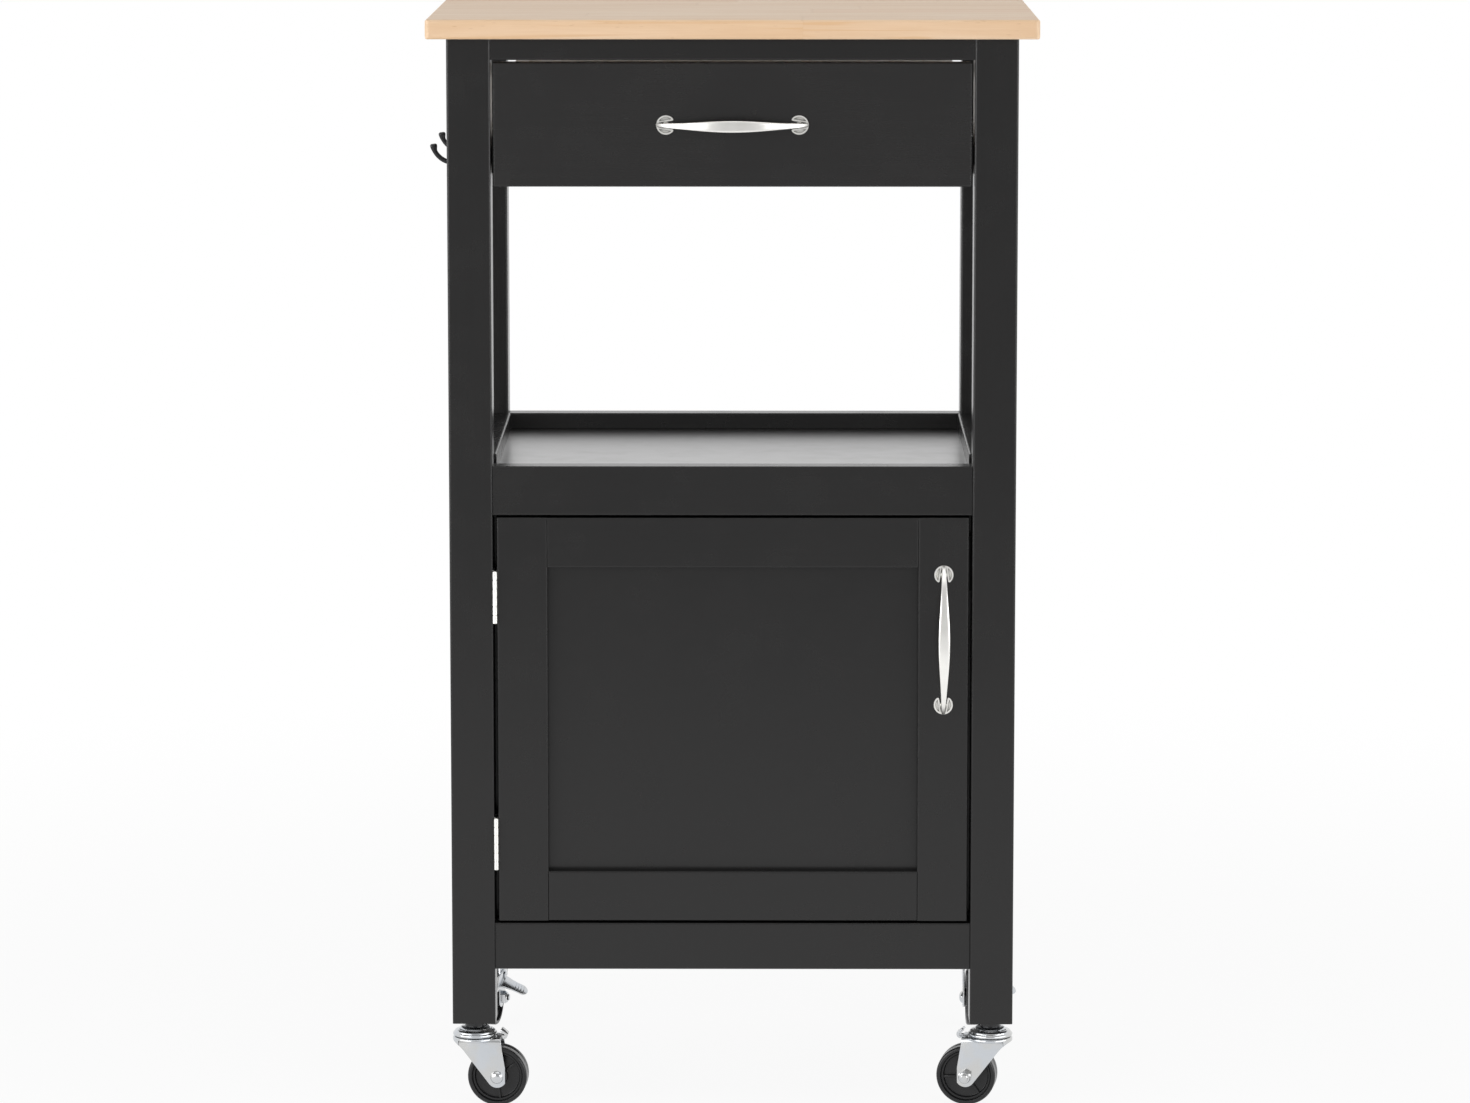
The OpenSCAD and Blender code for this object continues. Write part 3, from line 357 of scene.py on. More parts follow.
def zinc(base):
    """Bright zinc plate, slightly clouded, with a faint tint that changes over it, and shade painted
    dark into its grooves.
    """
    finish = Finish("bright zinc plate", Metallic=1.0)
    cloud = finish.noise(110.0, 4.0, 0.6)
    fine = finish.noise(1700.0)
    tint = finish.between(finish.noise(60.0, shift=(3.1, 0.4, 1.7)), 0.35, 0.65)
    plated = finish.mixed(tint, tinted(base, 1.0, 1.01, 1.03), tinted(base, 1.02, 0.99, 0.95))
    finish.feed(
        # Painted shade: the colour goes nearly black in grooves, where ambient occlusion finds them.
        Base_Color=finish.mixed(finish.painted_crevice_shade(0.0025) * 0.85, plated, tinted(base, 0.12, 0.12, 0.12)),
        Roughness=0.15 + finish.between(cloud, 0.35, 0.7) * 0.06 + fine * 0.03,
        Normal=finish.bump(fine, 0.00001, 0.1),
    )
    return finish.material


def enamel(base):
    """Black enamel on steel, with soft ripples."""
    finish = Finish("black enamel", IOR=1.5)
    cloud = finish.noise(70.0, 3.0)
    finish.feed(
        Base_Color=finish.mixed(cloud, tinted(base, 0.9, 0.9, 0.9), tinted(base, 1.6, 1.6, 1.65)),
        Roughness=0.2 + cloud * 0.14,
        Normal=finish.bump(finish.noise(420.0), 0.00003, 0.2),
    )
    return finish.material


def moulded(name, base, roughness):
    """Moulded black plastic with a fine eroded texture."""
    finish = Finish(name, IOR=1.42)
    eroded = finish.noise(2400.0)
    flow = finish.noise(90.0, 4.0, 0.6)
    dust = finish.between(flow, 0.55, 0.8)
    finish.feed(
        Base_Color=finish.mixed(dust * 0.35, base, tinted(base, 2.6, 2.5, 2.4)),
        Roughness=roughness + flow * 0.12 + eroded * 0.05,
        Normal=finish.bump(eroded, 0.00004, 0.3),
    )
    return finish.material


# ------------------------------------------------------------------ bench work


def choose(*pieces):
    """Selects these pieces and nothing else, and makes the first one active."""
    bpy.ops.object.select_all(action="DESELECT")
    for piece in pieces:
        piece.select_set(True)
    if pieces:
        bpy.context.view_layer.objects.active = pieces[0]


def keep_place():
    """Puts the chosen piece's place, turn and scale in its mesh."""
    bpy.ops.object.transform_apply(location=True, rotation=True, scale=True)
    return bpy.context.object


def begin_edit():
    """Opens the new piece's mesh, with its place in it."""
    keep_place()
    bpy.ops.object.mode_set(mode="EDIT")


def end_edit():
    """Merges doubled points, turns every face outwards and leaves edit mode."""
    bpy.ops.mesh.select_all(action="SELECT")
    bpy.ops.mesh.remove_doubles(threshold=2e-6)
    bpy.ops.mesh.normals_make_consistent(inside=False)
    bpy.ops.object.mode_set(mode="OBJECT")
    return bpy.context.object


def modify(piece, kind, **settings):
    """Adds a modifier with these settings and applies it."""
    choose(piece)
    modifier = piece.modifiers.new(kind.title(), kind)
    for setting, value in settings.items():
        setattr(modifier, setting, value)
    bpy.ops.object.modifier_apply(modifier=modifier.name)
    return piece


def discard(piece):
    """Throws a piece away."""
    bpy.data.objects.remove(piece)


def cut(piece, cutter, operation="DIFFERENCE"):
    """Cuts a piece with another, which is then thrown away."""
    modify(piece, "BOOLEAN", object=cutter, operation=operation, solver="EXACT")
    discard(cutter)
    return piece


def soften(piece, width, segments=2, angle=35.0):
    """Rounds the edges that are sharper than an angle. The width is in millimetres."""
    return modify(
        piece, "BEVEL", width=width * MM, segments=segments, limit_method="ANGLE",
        angle_limit=math.radians(angle), use_clamp_overlap=True, harden_normals=False,
    )


def drawn(points):
    """Draws a line from point to point and leaves it in edit mode. The points are in millimetres."""
    choose()
    bpy.ops.mesh.primitive_plane_add(size=MM)
    begin_edit()
    bpy.ops.mesh.select_mode(type="VERT")
    bpy.ops.mesh.merge(type="CENTER")
    points = [Vector(point) * MM for point in points]
    bpy.ops.transform.translate(value=points[0])
    for here, there in zip(points, points[1:]):
        bpy.ops.mesh.extrude_vertices_move(TRANSFORM_OT_translate={"value": there - here})


def turned(outline, steps):
    """A shape turned about Z from its outline, which is [(distance from the axis, height)]."""
    drawn([(distance, 0.0, height) for distance, height in outline])
    bpy.ops.mesh.select_all(action="SELECT")
    bpy.ops.mesh.spin(steps=steps, angle=math.tau, center=(0, 0, 0), axis=(0, 0, 1))
    return end_edit()


def pressed(outline, start, depth, plane="xz"):
    """A flat shape with a thickness: its outline is filled and pulled out across its plane."""
    place, pull = {
        "xz": (lambda a, b: (a, start, b), (0, depth, 0)),
        "xy": (lambda a, b: (a, b, start), (0, 0, depth)),
        "yz": (lambda a, b: (start, a, b), (depth, 0, 0)),
    }[plane]
    drawn([place(a, b) for a, b in outline])
    bpy.ops.mesh.select_all(action="SELECT")
    bpy.ops.mesh.edge_face_add()
    bpy.ops.mesh.extrude_region_move(TRANSFORM_OT_translate={"value": Vector(pull) * MM})
    return end_edit()


def swept(stations, corner):
    """A bar along a path in XZ. Each station is (x, z, tilt in degrees, half width, half depth)."""
    choose()
    bpy.ops.mesh.primitive_plane_add(size=2.0, rotation=(0, math.pi / 2, 0))
    begin_edit()
    bpy.ops.mesh.bevel(affect="VERTICES", offset=corner, segments=3)

    def tilted(angle, about):
        bpy.ops.transform.rotate(value=math.radians(angle), orient_axis="Y", center_override=about)

    x, z, tilt, wide, deep = stations[0]
    middle = Vector((x, 0, z)) * MM
    bpy.ops.transform.resize(value=(1, wide * MM, deep * MM), center_override=(0, 0, 0))
    tilted(tilt, (0, 0, 0))
    bpy.ops.transform.translate(value=middle)
    for x, z, next_tilt, next_wide, next_deep in stations[1:]:
        there = Vector((x, 0, z)) * MM
        bpy.ops.mesh.extrude_region_move(TRANSFORM_OT_translate={"value": there - middle})
        middle = there
        tilted(-tilt, middle)
        bpy.ops.transform.resize(value=(1, next_wide / wide, next_deep / deep), center_override=middle)
        tilted(next_tilt, middle)
        tilt, wide, deep = next_tilt, next_wide, next_deep
    return end_edit()


def brick(low, high, round_over):
    """A block between two corners, in millimetres, with its edges rounded."""
    choose()
    middle = [(a + b) / 2 * MM for a, b in zip(low, high)]
    size = [(b - a) * MM for a, b in zip(low, high)]
    bpy.ops.mesh.primitive_cube_add(size=1.0, location=middle, scale=size)
    return soften(keep_place(), round_over)


def settled(piece, turn=(0.0, 0.0, 0.0), at=(0.0, 0.0, 0.0)):
    """Turns and moves a piece by degrees and metres, and puts its place in its mesh."""
    choose(piece)
    piece.rotation_euler = [math.radians(angle) for angle in turn]
    piece.location = at
    return keep_place()


def copied(piece):
    """Another of a piece, with its own mesh."""
    choose(piece)
    bpy.ops.object.duplicate()
    return bpy.context.object


def joined(*pieces):
    """Makes one piece of several."""
    choose(*pieces)
    bpy.ops.object.join()
    return pieces[0]


def shown(piece, name, body, material, replaced, smooth=SMOOTH):
    """Names a finished piece, gives it its finish and its body, and hides what it replaces."""
    choose(piece)
    bpy.ops.object.shade_smooth_by_angle(angle=math.radians(smooth))
    piece.name = name
    piece.data.name = name
    piece.data.materials.clear()
    piece.data.materials.append(material)
    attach(piece, body)
    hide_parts(*replaced)


def paint(material, *nodes):
    """Gives CAD nodes their finish."""
    for name in nodes:
        materials = frame["nodes"][name].data.materials
        materials.clear()
        materials.append(material)


def arc(middle_x, middle_y, radius, start, end, steps):
    """Points on an arc, by degrees."""
    angles = [math.radians(start + (end - start) * step / steps) for step in range(steps + 1)]
    return [(middle_x + radius * math.cos(a), middle_y + radius * math.sin(a)) for a in angles]


# ------------------------------------------------------------------ places


def caster_place(corner):
    """Where a caster turns about, and the angle that it stands at, in degrees."""
    pivot = JOINTS[f"swivel_{corner}"]["pos_m"]
    across = JOINTS[f"roll_{corner}"]["axis"]
    return (pivot[0], pivot[1], 0.0), math.degrees(math.atan2(-across[0], across[1]))


def axle_place(corner):
    """The axle's distance behind the stem and its height, in millimetres."""
    pivot = Vector(JOINTS[f"swivel_{corner}"]["pos_m"][:2])
    axle = JOINTS[f"roll_{corner}"]["pos_m"]
    return (Vector(axle[:2]) - pivot).length / MM, axle[2] / MM


TRAIL, AXLE_HEIGHT = axle_place(CORNERS[0])
WHEEL_RADIUS = AXLE_HEIGHT
BRAKE_PLACE = (16.0, 45.0)


def under_leg(pattern, corner, piece, body, node, material, smooth=SMOOTH):
    """Puts a copy of a caster's part under one leg."""
    pivot, angle = caster_place(corner)
    shown(
        settled(copied(pattern), (0, 0, angle), pivot), f"{piece}_{corner}", f"{body}_{corner}",
        material, [f"{node}_{corner}"], smooth,
    )


# ------------------------------------------------------------------ finishes of the kept parts


class ISLANDCART_OT_lacquered_parts(bpy.types.Operator):
    """Finish the legs, rails, shelves, panels, drawer front and door"""

    bl_idname = "island_cart.lacquered_parts"
    bl_label = "Lacquered parts"

    def execute(self, context):
        base = context.scene.island_cart_colours.lacquer
        paint(
            black_lacquer("satin black lacquer, upright grain", base, "z", seed=0.3),
            "leg_front_left", "leg_front_right", "leg_back_left", "leg_back_right",
            "door_stile_left", "door_stile_right",
        )
        paint(
            black_lacquer("satin black lacquer, sideways grain", base, "x", seed=1.9),
            "top_rail_front", "top_rail_back", "shelf_rail_front", "shelf_rail_back",
            "bottom_rail_front", "bottom_rail_back", "door_rail_top", "door_rail_bottom",
        )
        paint(
            black_lacquer("satin black lacquer, grain front to back", base, "y", seed=3.1),
            "top_rails_side", "hook_rail", "runner_rail",
        )
        paint(
            black_lacquer("satin black lacquer on board", base, "flat", seed=5.2),
            "bottom_panel", "inner_shelf", "side_panel_left", "side_panel_right", "back_panel",
            "door_panel",
        )
        paint(
            black_lacquer(
                "satin black lacquer on the open shelf", base, "flat", seed=7.4, roughness=0.27,
                ior=1.7, coat=1.0,
            ),
            "shelf_panel",
        )
        paint(
            black_lacquer(
                "satin black lacquer on the drawer", tinted(base, 1.5, 1.5, 1.5), "x", seed=4.3
            ),
            "drawer_front",
        )
        return {"FINISHED"}


class ISLANDCART_OT_worktop(bpy.types.Operator):
    """Finish the worktop of glued staves"""

    bl_idname = "island_cart.worktop"
    bl_label = "Worktop"

    def execute(self, context):
        base = context.scene.island_cart_colours.timber
        paint(
            glued_staves("worktop of glued staves", base, stave=0.055, piece=0.43, sheen=0.37),
            "top_board",
        )
        return {"FINISHED"}


class ISLANDCART_OT_drawer_box(bpy.types.Operator):
    """Finish the drawer's unpainted box and the strips that it runs on"""

    bl_idname = "island_cart.drawer_box"
    bl_label = "Drawer box"

    def execute(self, context):
        base = context.scene.island_cart_colours.box_wood
        paint(
            glued_staves("drawer wood, grain front to back", base, 0.3, 0.9, 0.42, "y", "z"),
            "drawer_side_left", "drawer_side_right", "drawer_guides",
        )
        paint(
            glued_staves("drawer wood, grain side to side", base, 0.3, 1.2, 0.42, "x", "z"),
            "drawer_back",
        )
        paint(
            glued_staves("drawer bottom of thin board", base, 0.6, 2.0, 0.38),
            "drawer_bottom",
        )
        return {"FINISHED"}


class ISLANDCART_OT_small_parts(bpy.types.Operator):
    """Finish the hinges, screws, bolts, pegs, catch and caster stems"""

    bl_idname = "island_cart.small_parts"
    bl_label = "Hinges, screws and catch"

    def execute(self, context):
        colours = context.scene.island_cart_colours
        paint(nickel(colours.nickel, "z"), "hinge_leg_leaves", "hinge_door_leaves")
        paint(
            zinc(colours.zinc), "wood_screws", "frame_nuts", "drawer_screws", "door_screws",
            "shelf_pins", "strike_plate",
        )
        paint(enamel(colours.enamel), "frame_bolts", "caster_stems")
        paint(moulded("moulded black catch", colours.moulded, 0.4), "magnet_catch")
        return {"FINISHED"}


# ------------------------------------------------------------------ pulls

FOOT_HEIGHT = 2.4
NOTCH_OUTER = (5.6, 1.9)
NOTCH_INNER = (-9.0, 4.1)


def bow_stations(sizes, span, reach, rise):
    """Stations of a bar that springs from one foot's outer rim and arches over to the other's."""
    count, nudge, root = 56, 0.004, 1.0
    flatness, roundness, waist = 2.4, 0.75, 1.7
    tip_start, tip_taper, thinning = 48.0, 1.7, 2.2
    middle, neck, deep = sizes.bar_width / MM, sizes.bar_neck / MM, sizes.bar_depth / MM

    def at(t):
        s = math.sin(math.radians(90.0 * t))
        height = max(1.0 - abs(s) ** flatness, 0.0) ** roundness
        return Vector((reach * s, root + (rise - root) * height))

    stations = []
    for step in range(count + 1):
        t = 2.0 * step / count - 1.0
        x, z = at(t)
        way = at(min(t + nudge, 1.0)) - at(max(t - nudge, -1.0))
        tilt = math.degrees(math.atan2(way.y, way.x)) if abs(t) < 0.995 else -90.0 * t
        wide = neck + (middle - neck) * math.cos(math.radians(90.0 * min(abs(x) / span, 1.0))) ** waist
        wide -= tip_taper * (max(abs(x) - tip_start, 0.0) / (reach - tip_start)) ** 1.5
        thick = deep - thinning * (abs(x) / reach) ** 4
        stations.append((x, z, tilt, wide / 2, thick / 2))
    return stations


def lobe(radius, inset):
    """Start and end, by degrees, of the arc of a foot's upper lobe above its V, drawn in by an inset."""
    slope = (NOTCH_OUTER[1] - NOTCH_INNER[1]) / (NOTCH_OUTER[0] - NOTCH_INNER[0])
    lift = NOTCH_OUTER[1] - slope * NOTCH_OUTER[0] + inset * math.hypot(1.0, slope)
    a, b, c = 1.0 + slope ** 2, 2.0 * slope * lift, lift ** 2 - (radius - inset) ** 2
    root = math.sqrt(b * b - 4.0 * a * c)
    ends = ((-b + root) / (2.0 * a), (-b - root) / (2.0 * a))
    return [math.degrees(math.atan2(lift + slope * x, x)) for x in ends]


def turned_corner(before, corner, after):
    """Points that bend round a corner, from one point before it to one after it."""
    a, b, c = Vector(before), Vector(corner), Vector(after)
    steps = 6
    places = [step / steps for step in range(steps + 1)]
    return [tuple(a * (1 - t) ** 2 + b * 2 * t * (1 - t) + c * t ** 2) for t in places]


def pull_foot(radius):
    """A round foot of two dished lobes, parted by a V that narrows outwards, and its screw post."""
    rim, dish_floor, tip_turn, tip_flank = 1.25, 1.0, 17.0, 2.2
    end = lobe(radius, 0.0)[1]
    shoulder, tip = arc(0, 0, radius, end - tip_turn, end, 1)
    inward = Vector(NOTCH_OUTER) - Vector(tip)
    flank = tuple(Vector(tip) + inward * (tip_flank / inward.length))
    upper = turned_corner(shoulder, tip, flank)
    lower = [(x, -y) for x, y in reversed(upper)]
    notch = [NOTCH_OUTER, (NOTCH_OUTER[0], -NOTCH_OUTER[1])]
    front = arc(0, 0, radius, tip_turn - end, end - tip_turn, 54)[1:-1]
    foot = pressed(front + upper + notch + lower, 0.0, FOOT_HEIGHT, plane="xy")
    for side in (1, -1):
        rounded = arc(0, 0, radius - rim, *lobe(radius, rim), 24)
        dish = pressed([(x, side * y) for x, y in rounded], dish_floor, FOOT_HEIGHT, plane="xy")
        cut(foot, soften(dish, 0.3, 2, 40))
    post = turned(
        [(0, 0.3), (3.4, 0.3), (3.3, 0.9), (2.9, 2.2), (2.6, 4.2), (2.4, 6.8), (2.0, 7.4), (0, 7.6)], 32
    )
    return joined(foot, post)


class ISLANDCART_OT_pulls(bpy.types.Operator):
    """Model the bow pulls of the drawer and the door"""

    bl_idname = "island_cart.pulls"
    bl_label = "Bow pulls"

    def execute(self, context):
        sizes = context.scene.island_cart_sizes
        radius = sizes.foot_radius / MM
        low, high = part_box("drawer_pull")
        span = (high.x - low.x) / 2 / MM - radius
        rise = (high.y - low.y - sizes.bar_depth / 2) / MM
        inside_rim = 1.2
        bar = swept(bow_stations(sizes, span, span + radius - inside_rim, rise), 0.4)
        modify(bar, "SUBSURF", levels=1, render_levels=1)
        foot = pull_foot(radius)
        feet = [
            settled(copied(foot), (0, 0, turn), (x * MM, 0, 0)) for turn, x in ((0, span), (180, -span))
        ]
        discard(foot)
        pull = joined(bar, *feet)
        upright = settled(copied(pull), (0, 0, 90))
        for piece, part, run in ((pull, "drawer", "x"), (upright, "door", "z")):
            low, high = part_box(f"{part}_pull")
            middle = (low + high) / 2
            settled(piece, (90, 0, 0), (middle.x, high.y, middle.z))
            finish = nickel(context.scene.island_cart_colours.nickel, run)
            shown(piece, f"{part}_bow_pull", part, finish, [f"{part}_pull"])
        return {"FINISHED"}


# ------------------------------------------------------------------ hooks


def prong_stations(radius, bend, straight):
    """Stations of a prong that leaves its plate, bends up and swells inwards at its tip."""
    bent, root, knob, close_up = 82.0, 5.0, 6.5, 1.4
    whole = straight + math.radians(bent) * bend
    places = [0.0, 1.0, 2.0, 3.2, 4.5, 6.0]
    places += [6.0 + (whole - 13.0) * step / 16 for step in range(1, 17)]
    places += [whole - back for back in (5.6, 4.4, 3.2, 2.2, 1.4, 0.8, 0.3, 0.0)]
    stations = []
    for s in places:
        a = max(s - straight, 0.0) / bend
        thick = radius + 2.2 * max(1.0 - s / root, 0.0) ** 2
        swell = math.sin(math.radians(120.0 * max(1.0 - (whole - s) / knob, 0.0)))
        close = math.sqrt(1.0 - 0.7 * max(1.0 - (whole - s) / close_up, 0.0) ** 2)
        turn = bend - 0.7 * swell
        x = min(s, straight) + turn * math.sin(a)
        z = bend - turn * math.cos(a)
        stations.append(
            (-x, z, 180.0 - math.degrees(a), (thick + 1.1 * swell) * close, (thick + swell) * close)
        )
    return stations


class ISLANDCART_OT_hooks(bpy.types.Operator):
    """Model the hooks of the left side"""

    bl_idname = "island_cart.hooks"
    bl_label = "Side hooks"

    def execute(self, context):
        sizes = context.scene.island_cart_sizes
        low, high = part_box("side_hooks")
        plate_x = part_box("hook_rail")[0].x
        width, height, thick = 12.0, 28.0, 2.5
        prong_root, prong_drop, screws = 1.0, 9.8, (-2.0, 9.5)
        reach = (plate_x - low.x - sizes.bend_radius - sizes.prong_radius) / MM
        half = (height - width) / 2
        outline = arc(0, half, width / 2, 0, 180, 18) + arc(0, -half, width / 2, 180, 360, 18)
        plate = pressed(outline, 0.0, -thick, plane="yz")
        for up in screws:
            sink = turned([(0, 0.6), (3.3, 0.6), (3.3, 0.05), (1.7, -1.7), (1.7, -6), (0, -6)], 32)
            cut(plate, settled(sink, (0, -90, 0), (-thick * MM, 0, up * MM)))
        soften(plate, 0.45, 3, 50)
        path = prong_stations(sizes.prong_radius / MM, sizes.bend_radius / MM, reach - prong_root)
        prong = modify(swept(path, 0.58), "SUBSURF", levels=1, render_levels=1)
        hook = joined(plate, settled(prong, at=(-prong_root * MM, 0, -prong_drop * MM)))
        middle_z = high.z - height / 2 * MM
        hooks = [
            settled(copied(hook), at=(plate_x, y, middle_z))
            for y in (low.y + width / 2 * MM, high.y - width / 2 * MM)
        ]
        discard(hook)
        finish = enamel(context.scene.island_cart_colours.enamel)
        shown(joined(*hooks), "side_hook_set", "frame", finish, ["side_hooks"])
        return {"FINISHED"}


# ------------------------------------------------------------------ casters


class ISLANDCART_OT_caster_caps(bpy.types.Operator):
    """Model the domed caps over the casters' ball races"""

    bl_idname = "island_cart.caster_caps"
    bl_label = "Caster caps"

    def execute(self, context):
        low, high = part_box("caster_caps")
        bottom, top = low.z / MM, high.z / MM
        bore, lip = 5.1, 1.6
        outer = (high.x - JOINTS["swivel_front_right"]["pos_m"][0]) / MM
        cap = turned(
            [(bore, bottom + 1.3), (bore, top - 0.7)] + arc(7.6, top - 0.9, 0.7, 180, 90, 3)
            + [(9.4, top - 0.1)] + arc(10.2, top - 3.4, 3.2, 78, 22, 7)
            + arc(15.0, bottom + 5.9, 0.8, 200, 265, 4)
            + [(16.1, bottom + 4.9), (16.9, bottom + 4.5), (17.3, bottom + 3.8), (17.5, bottom + 3.2)]
            + arc(outer - lip, bottom + lip, lip, 75, -90, 12)
            + arc(outer - lip, bottom + lip, lip, -100, -170, 4)
            + [(outer - lip * 2, bottom + 2.0), (12.0, bottom + 2.6), (bore, bottom + 1.3)],
            72,
        )
        caps = [settled(copied(cap), at=caster_place(corner)[0]) for corner in CORNERS]
        discard(cap)
        finish = zinc(context.scene.island_cart_colours.zinc)
        shown(
            joined(*caps), "domed_caster_caps", "frame", finish, ["caster_caps"], SMOOTH_CASTER
        )
        return {"FINISHED"}


def touching(point, middle, radius, side):
    """Where a line from a point touches a circle."""
    away = Vector(point) - Vector(middle)
    a = math.atan2(away.y, away.x) + side * math.acos(radius / away.length)
    return (middle[0] + radius * math.cos(a), middle[1] + radius * math.sin(a))


def fork_outline(under, over):
    """Side view of a fork: a round end at the axle, and a front edge that sweeps up to the rim."""
    low, low_radius = (TRAIL, AXLE_HEIGHT - 0.8), 8.2
    back, front, rim = (22.8, under - 1.3), (-6.6, 45.0), -20.0
    ends = [touching(back, low, low_radius, -1), touching(front, low, low_radius, 1)]
    start, end = (math.degrees(math.atan2(y - low[1], x - low[0])) for x, y in ends)
    while end > start:
        end -= 360.0
    sweep = [
        (-8.1, 47.0), (-9.5, 48.65), (-10.8, 50.1), (-12.0, 51.3), (-13.4, 52.45), (-14.8, 53.4),
        (-16.4, 54.25), (-18.0, 54.9), (rim, 55.5),
    ]
    crown = [(rim, over), (back[0], over), back]
    return [front] + sweep + crown + arc(*low, low_radius, start, end, 22)


class ISLANDCART_OT_forks(bpy.types.Operator):
    """Model the casters' pressed forks"""

    bl_idname = "island_cart.forks"
    bl_label = "Caster forks"

    def execute(self, context):
        sizes = context.scene.island_cart_sizes
        sheet, cheek = sizes.sheet / MM, sizes.cheek / MM
        cap_gap = 0.5
        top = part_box("caster_caps")[0].z / MM - cap_gap
        under, outer = top - sheet, cheek + sheet
        bend, foot, tongue_half = 3.4, 12.0, 5.5
        inner_bend = bend - sheet

        def shaped(blank):
            side = pressed(fork_outline(under, top + 1.0), -20.0, 40.0)
            return cut(blank, side, "INTERSECT")

        channel = pressed(
            [(outer, foot)] + arc(outer - bend, top - bend, bend, 0, 90, 8)
            + arc(-outer + bend, top - bend, bend, 90, 180, 8) + [(-outer, foot), (-cheek, foot)]
            + arc(-cheek + inner_bend, under - inner_bend, inner_bend, 180, 90, 5)
            + arc(cheek - inner_bend, under - inner_bend, inner_bend, 90, 0, 5) + [(cheek, foot)],
            -13.6, 40.0, plane="yz",
        )
        soften(shaped(channel), 0.45, 3, 50)
        wall = shaped(turned(
            [(16.8, 46.0), (18.8, 46.0), (18.8, under + 0.6), (16.8, under + 0.6), (16.8, 46.0)], 96
        ))
        cut(wall, pressed([(-21, 40), (-12.8, 40), (-12.8, 60), (-21, 60)], -20.0, 40.0), "INTERSECT")
        soften(wall, 0.4, 3, 50)
        plate = turned(
            [(5.1, under + 0.2), (5.1, top), (8.6, top), (9.6, top - 0.4), (12.6, top - 0.4)]
            + [(13.6, top), (16.2, top)] + arc(17.4, under + 0.5, 1.5, 80, -90, 12)
            + [(16.5, under - 0.7), (15.9, under), (5.1, under + 0.2)],
            96,
        )
        tongue = pressed(
            [(19.0, under), (24.5, under)] + arc(24.6, under + 3.3, 3.3, -80, 14, 7)
            + [(28.0, under + 4.3), (23.3, under + 8.0), (22.7, under + 8.1), (22.2, under + 7.9)]
            + [(21.6, under + 7.0), (21.7, under + 6.6), (25.3, under + 3.9)]
            + arc(24.2, under + 3.1, 1.15, 15, -75, 5) + [(19.0, top)],
            tongue_half, -2 * tongue_half,
        )
        soften(tongue, 0.45, 2, 40)
        plain = joined(channel, wall, plate, tongue)
        rivet = turned(
            [(0, 0), (2.0, 0), (2.0, 2.3), (3.5, 2.35), (3.7, 2.7), (3.3, 3.2), (2.2, 3.6), (0, 3.75)],
            32,
        )
        settled(rivet, (-90, 0, 0), (BRAKE_PLACE[0] * MM, (outer - 0.1) * MM, BRAKE_PLACE[1] * MM))
        braked = joined(copied(plain), rivet)
        finish = zinc(context.scene.island_cart_colours.zinc)
        for corner in CORNERS:
            fork = braked if corner.startswith("back") else plain
            under_leg(fork, corner, "pressed_fork", "caster", "fork", finish, SMOOTH_CASTER)
        discard(plain)
        discard(braked)
        return {"FINISHED"}


class ISLANDCART_OT_axles(bpy.types.Operator):
    """Model the axle bolts with their domed heads and lock nuts"""

    bl_idname = "island_cart.axles"
    bl_label = "Axle bolts"

    def execute(self, context):
        sizes = context.scene.island_cart_sizes
        outer = (sizes.cheek + sizes.sheet) / MM
        nut_height, nut_corner, pitch = 4.0, 5.77, 0.4
        thread = []
        for turn in range(5):
            z = 2 * outer + 5.0 + pitch * turn
            thread += [(2.95, z), (2.6, z + pitch / 2)]
        bolt = turned(
            [(0, -3.0), (2.0, -2.9), (3.4, -2.45), (4.4, -1.8), (5.1, -0.95), (5.4, -0.45), (5.4, 0)]
            + [(3.0, 0), (3.0, 2 * outer + 4.8)] + thread
            + [(2.5, 2 * outer + 7.0), (0, 2 * outer + 7.0)],
            48,
        )
        settled(bolt, (-90, 0, 0), (TRAIL * MM, -outer * MM, AXLE_HEIGHT * MM))
        choose()
        bpy.ops.mesh.primitive_cylinder_add(
            vertices=6, radius=nut_corner * MM, depth=nut_height * MM,
            location=(0, 0, nut_height / 2 * MM),
        )
        hexagon = keep_place()
        chamfers = turned(
            [(0, -1), (5.0, -0.001), (5.35, 0.0), (5.9, 0.35), (5.9, 3.5), (5.1, 4.0), (4.9, 4.2)]
            + [(0, 4.2)],
            48,
        )
        nut = cut(hexagon, chamfers, "INTERSECT")
        collar = turned(
            [(2.7, 3.6), (4.9, 3.6), (4.85, 4.6), (4.5, 5.2), (4.1, 5.4), (3.0, 5.4), (2.7, 5.1)]
            + [(2.7, 3.6)],
            40,
        )
        nut = settled(joined(nut, collar), (-90, 0, 0), (TRAIL * MM, outer * MM, AXLE_HEIGHT * MM))
        axle = joined(bolt, nut)
        finish = zinc(context.scene.island_cart_colours.zinc)
        for corner in CORNERS:
            under_leg(axle, corner, "axle_bolt", "caster", "axle", finish)
        discard(axle)
        return {"FINISHED"}


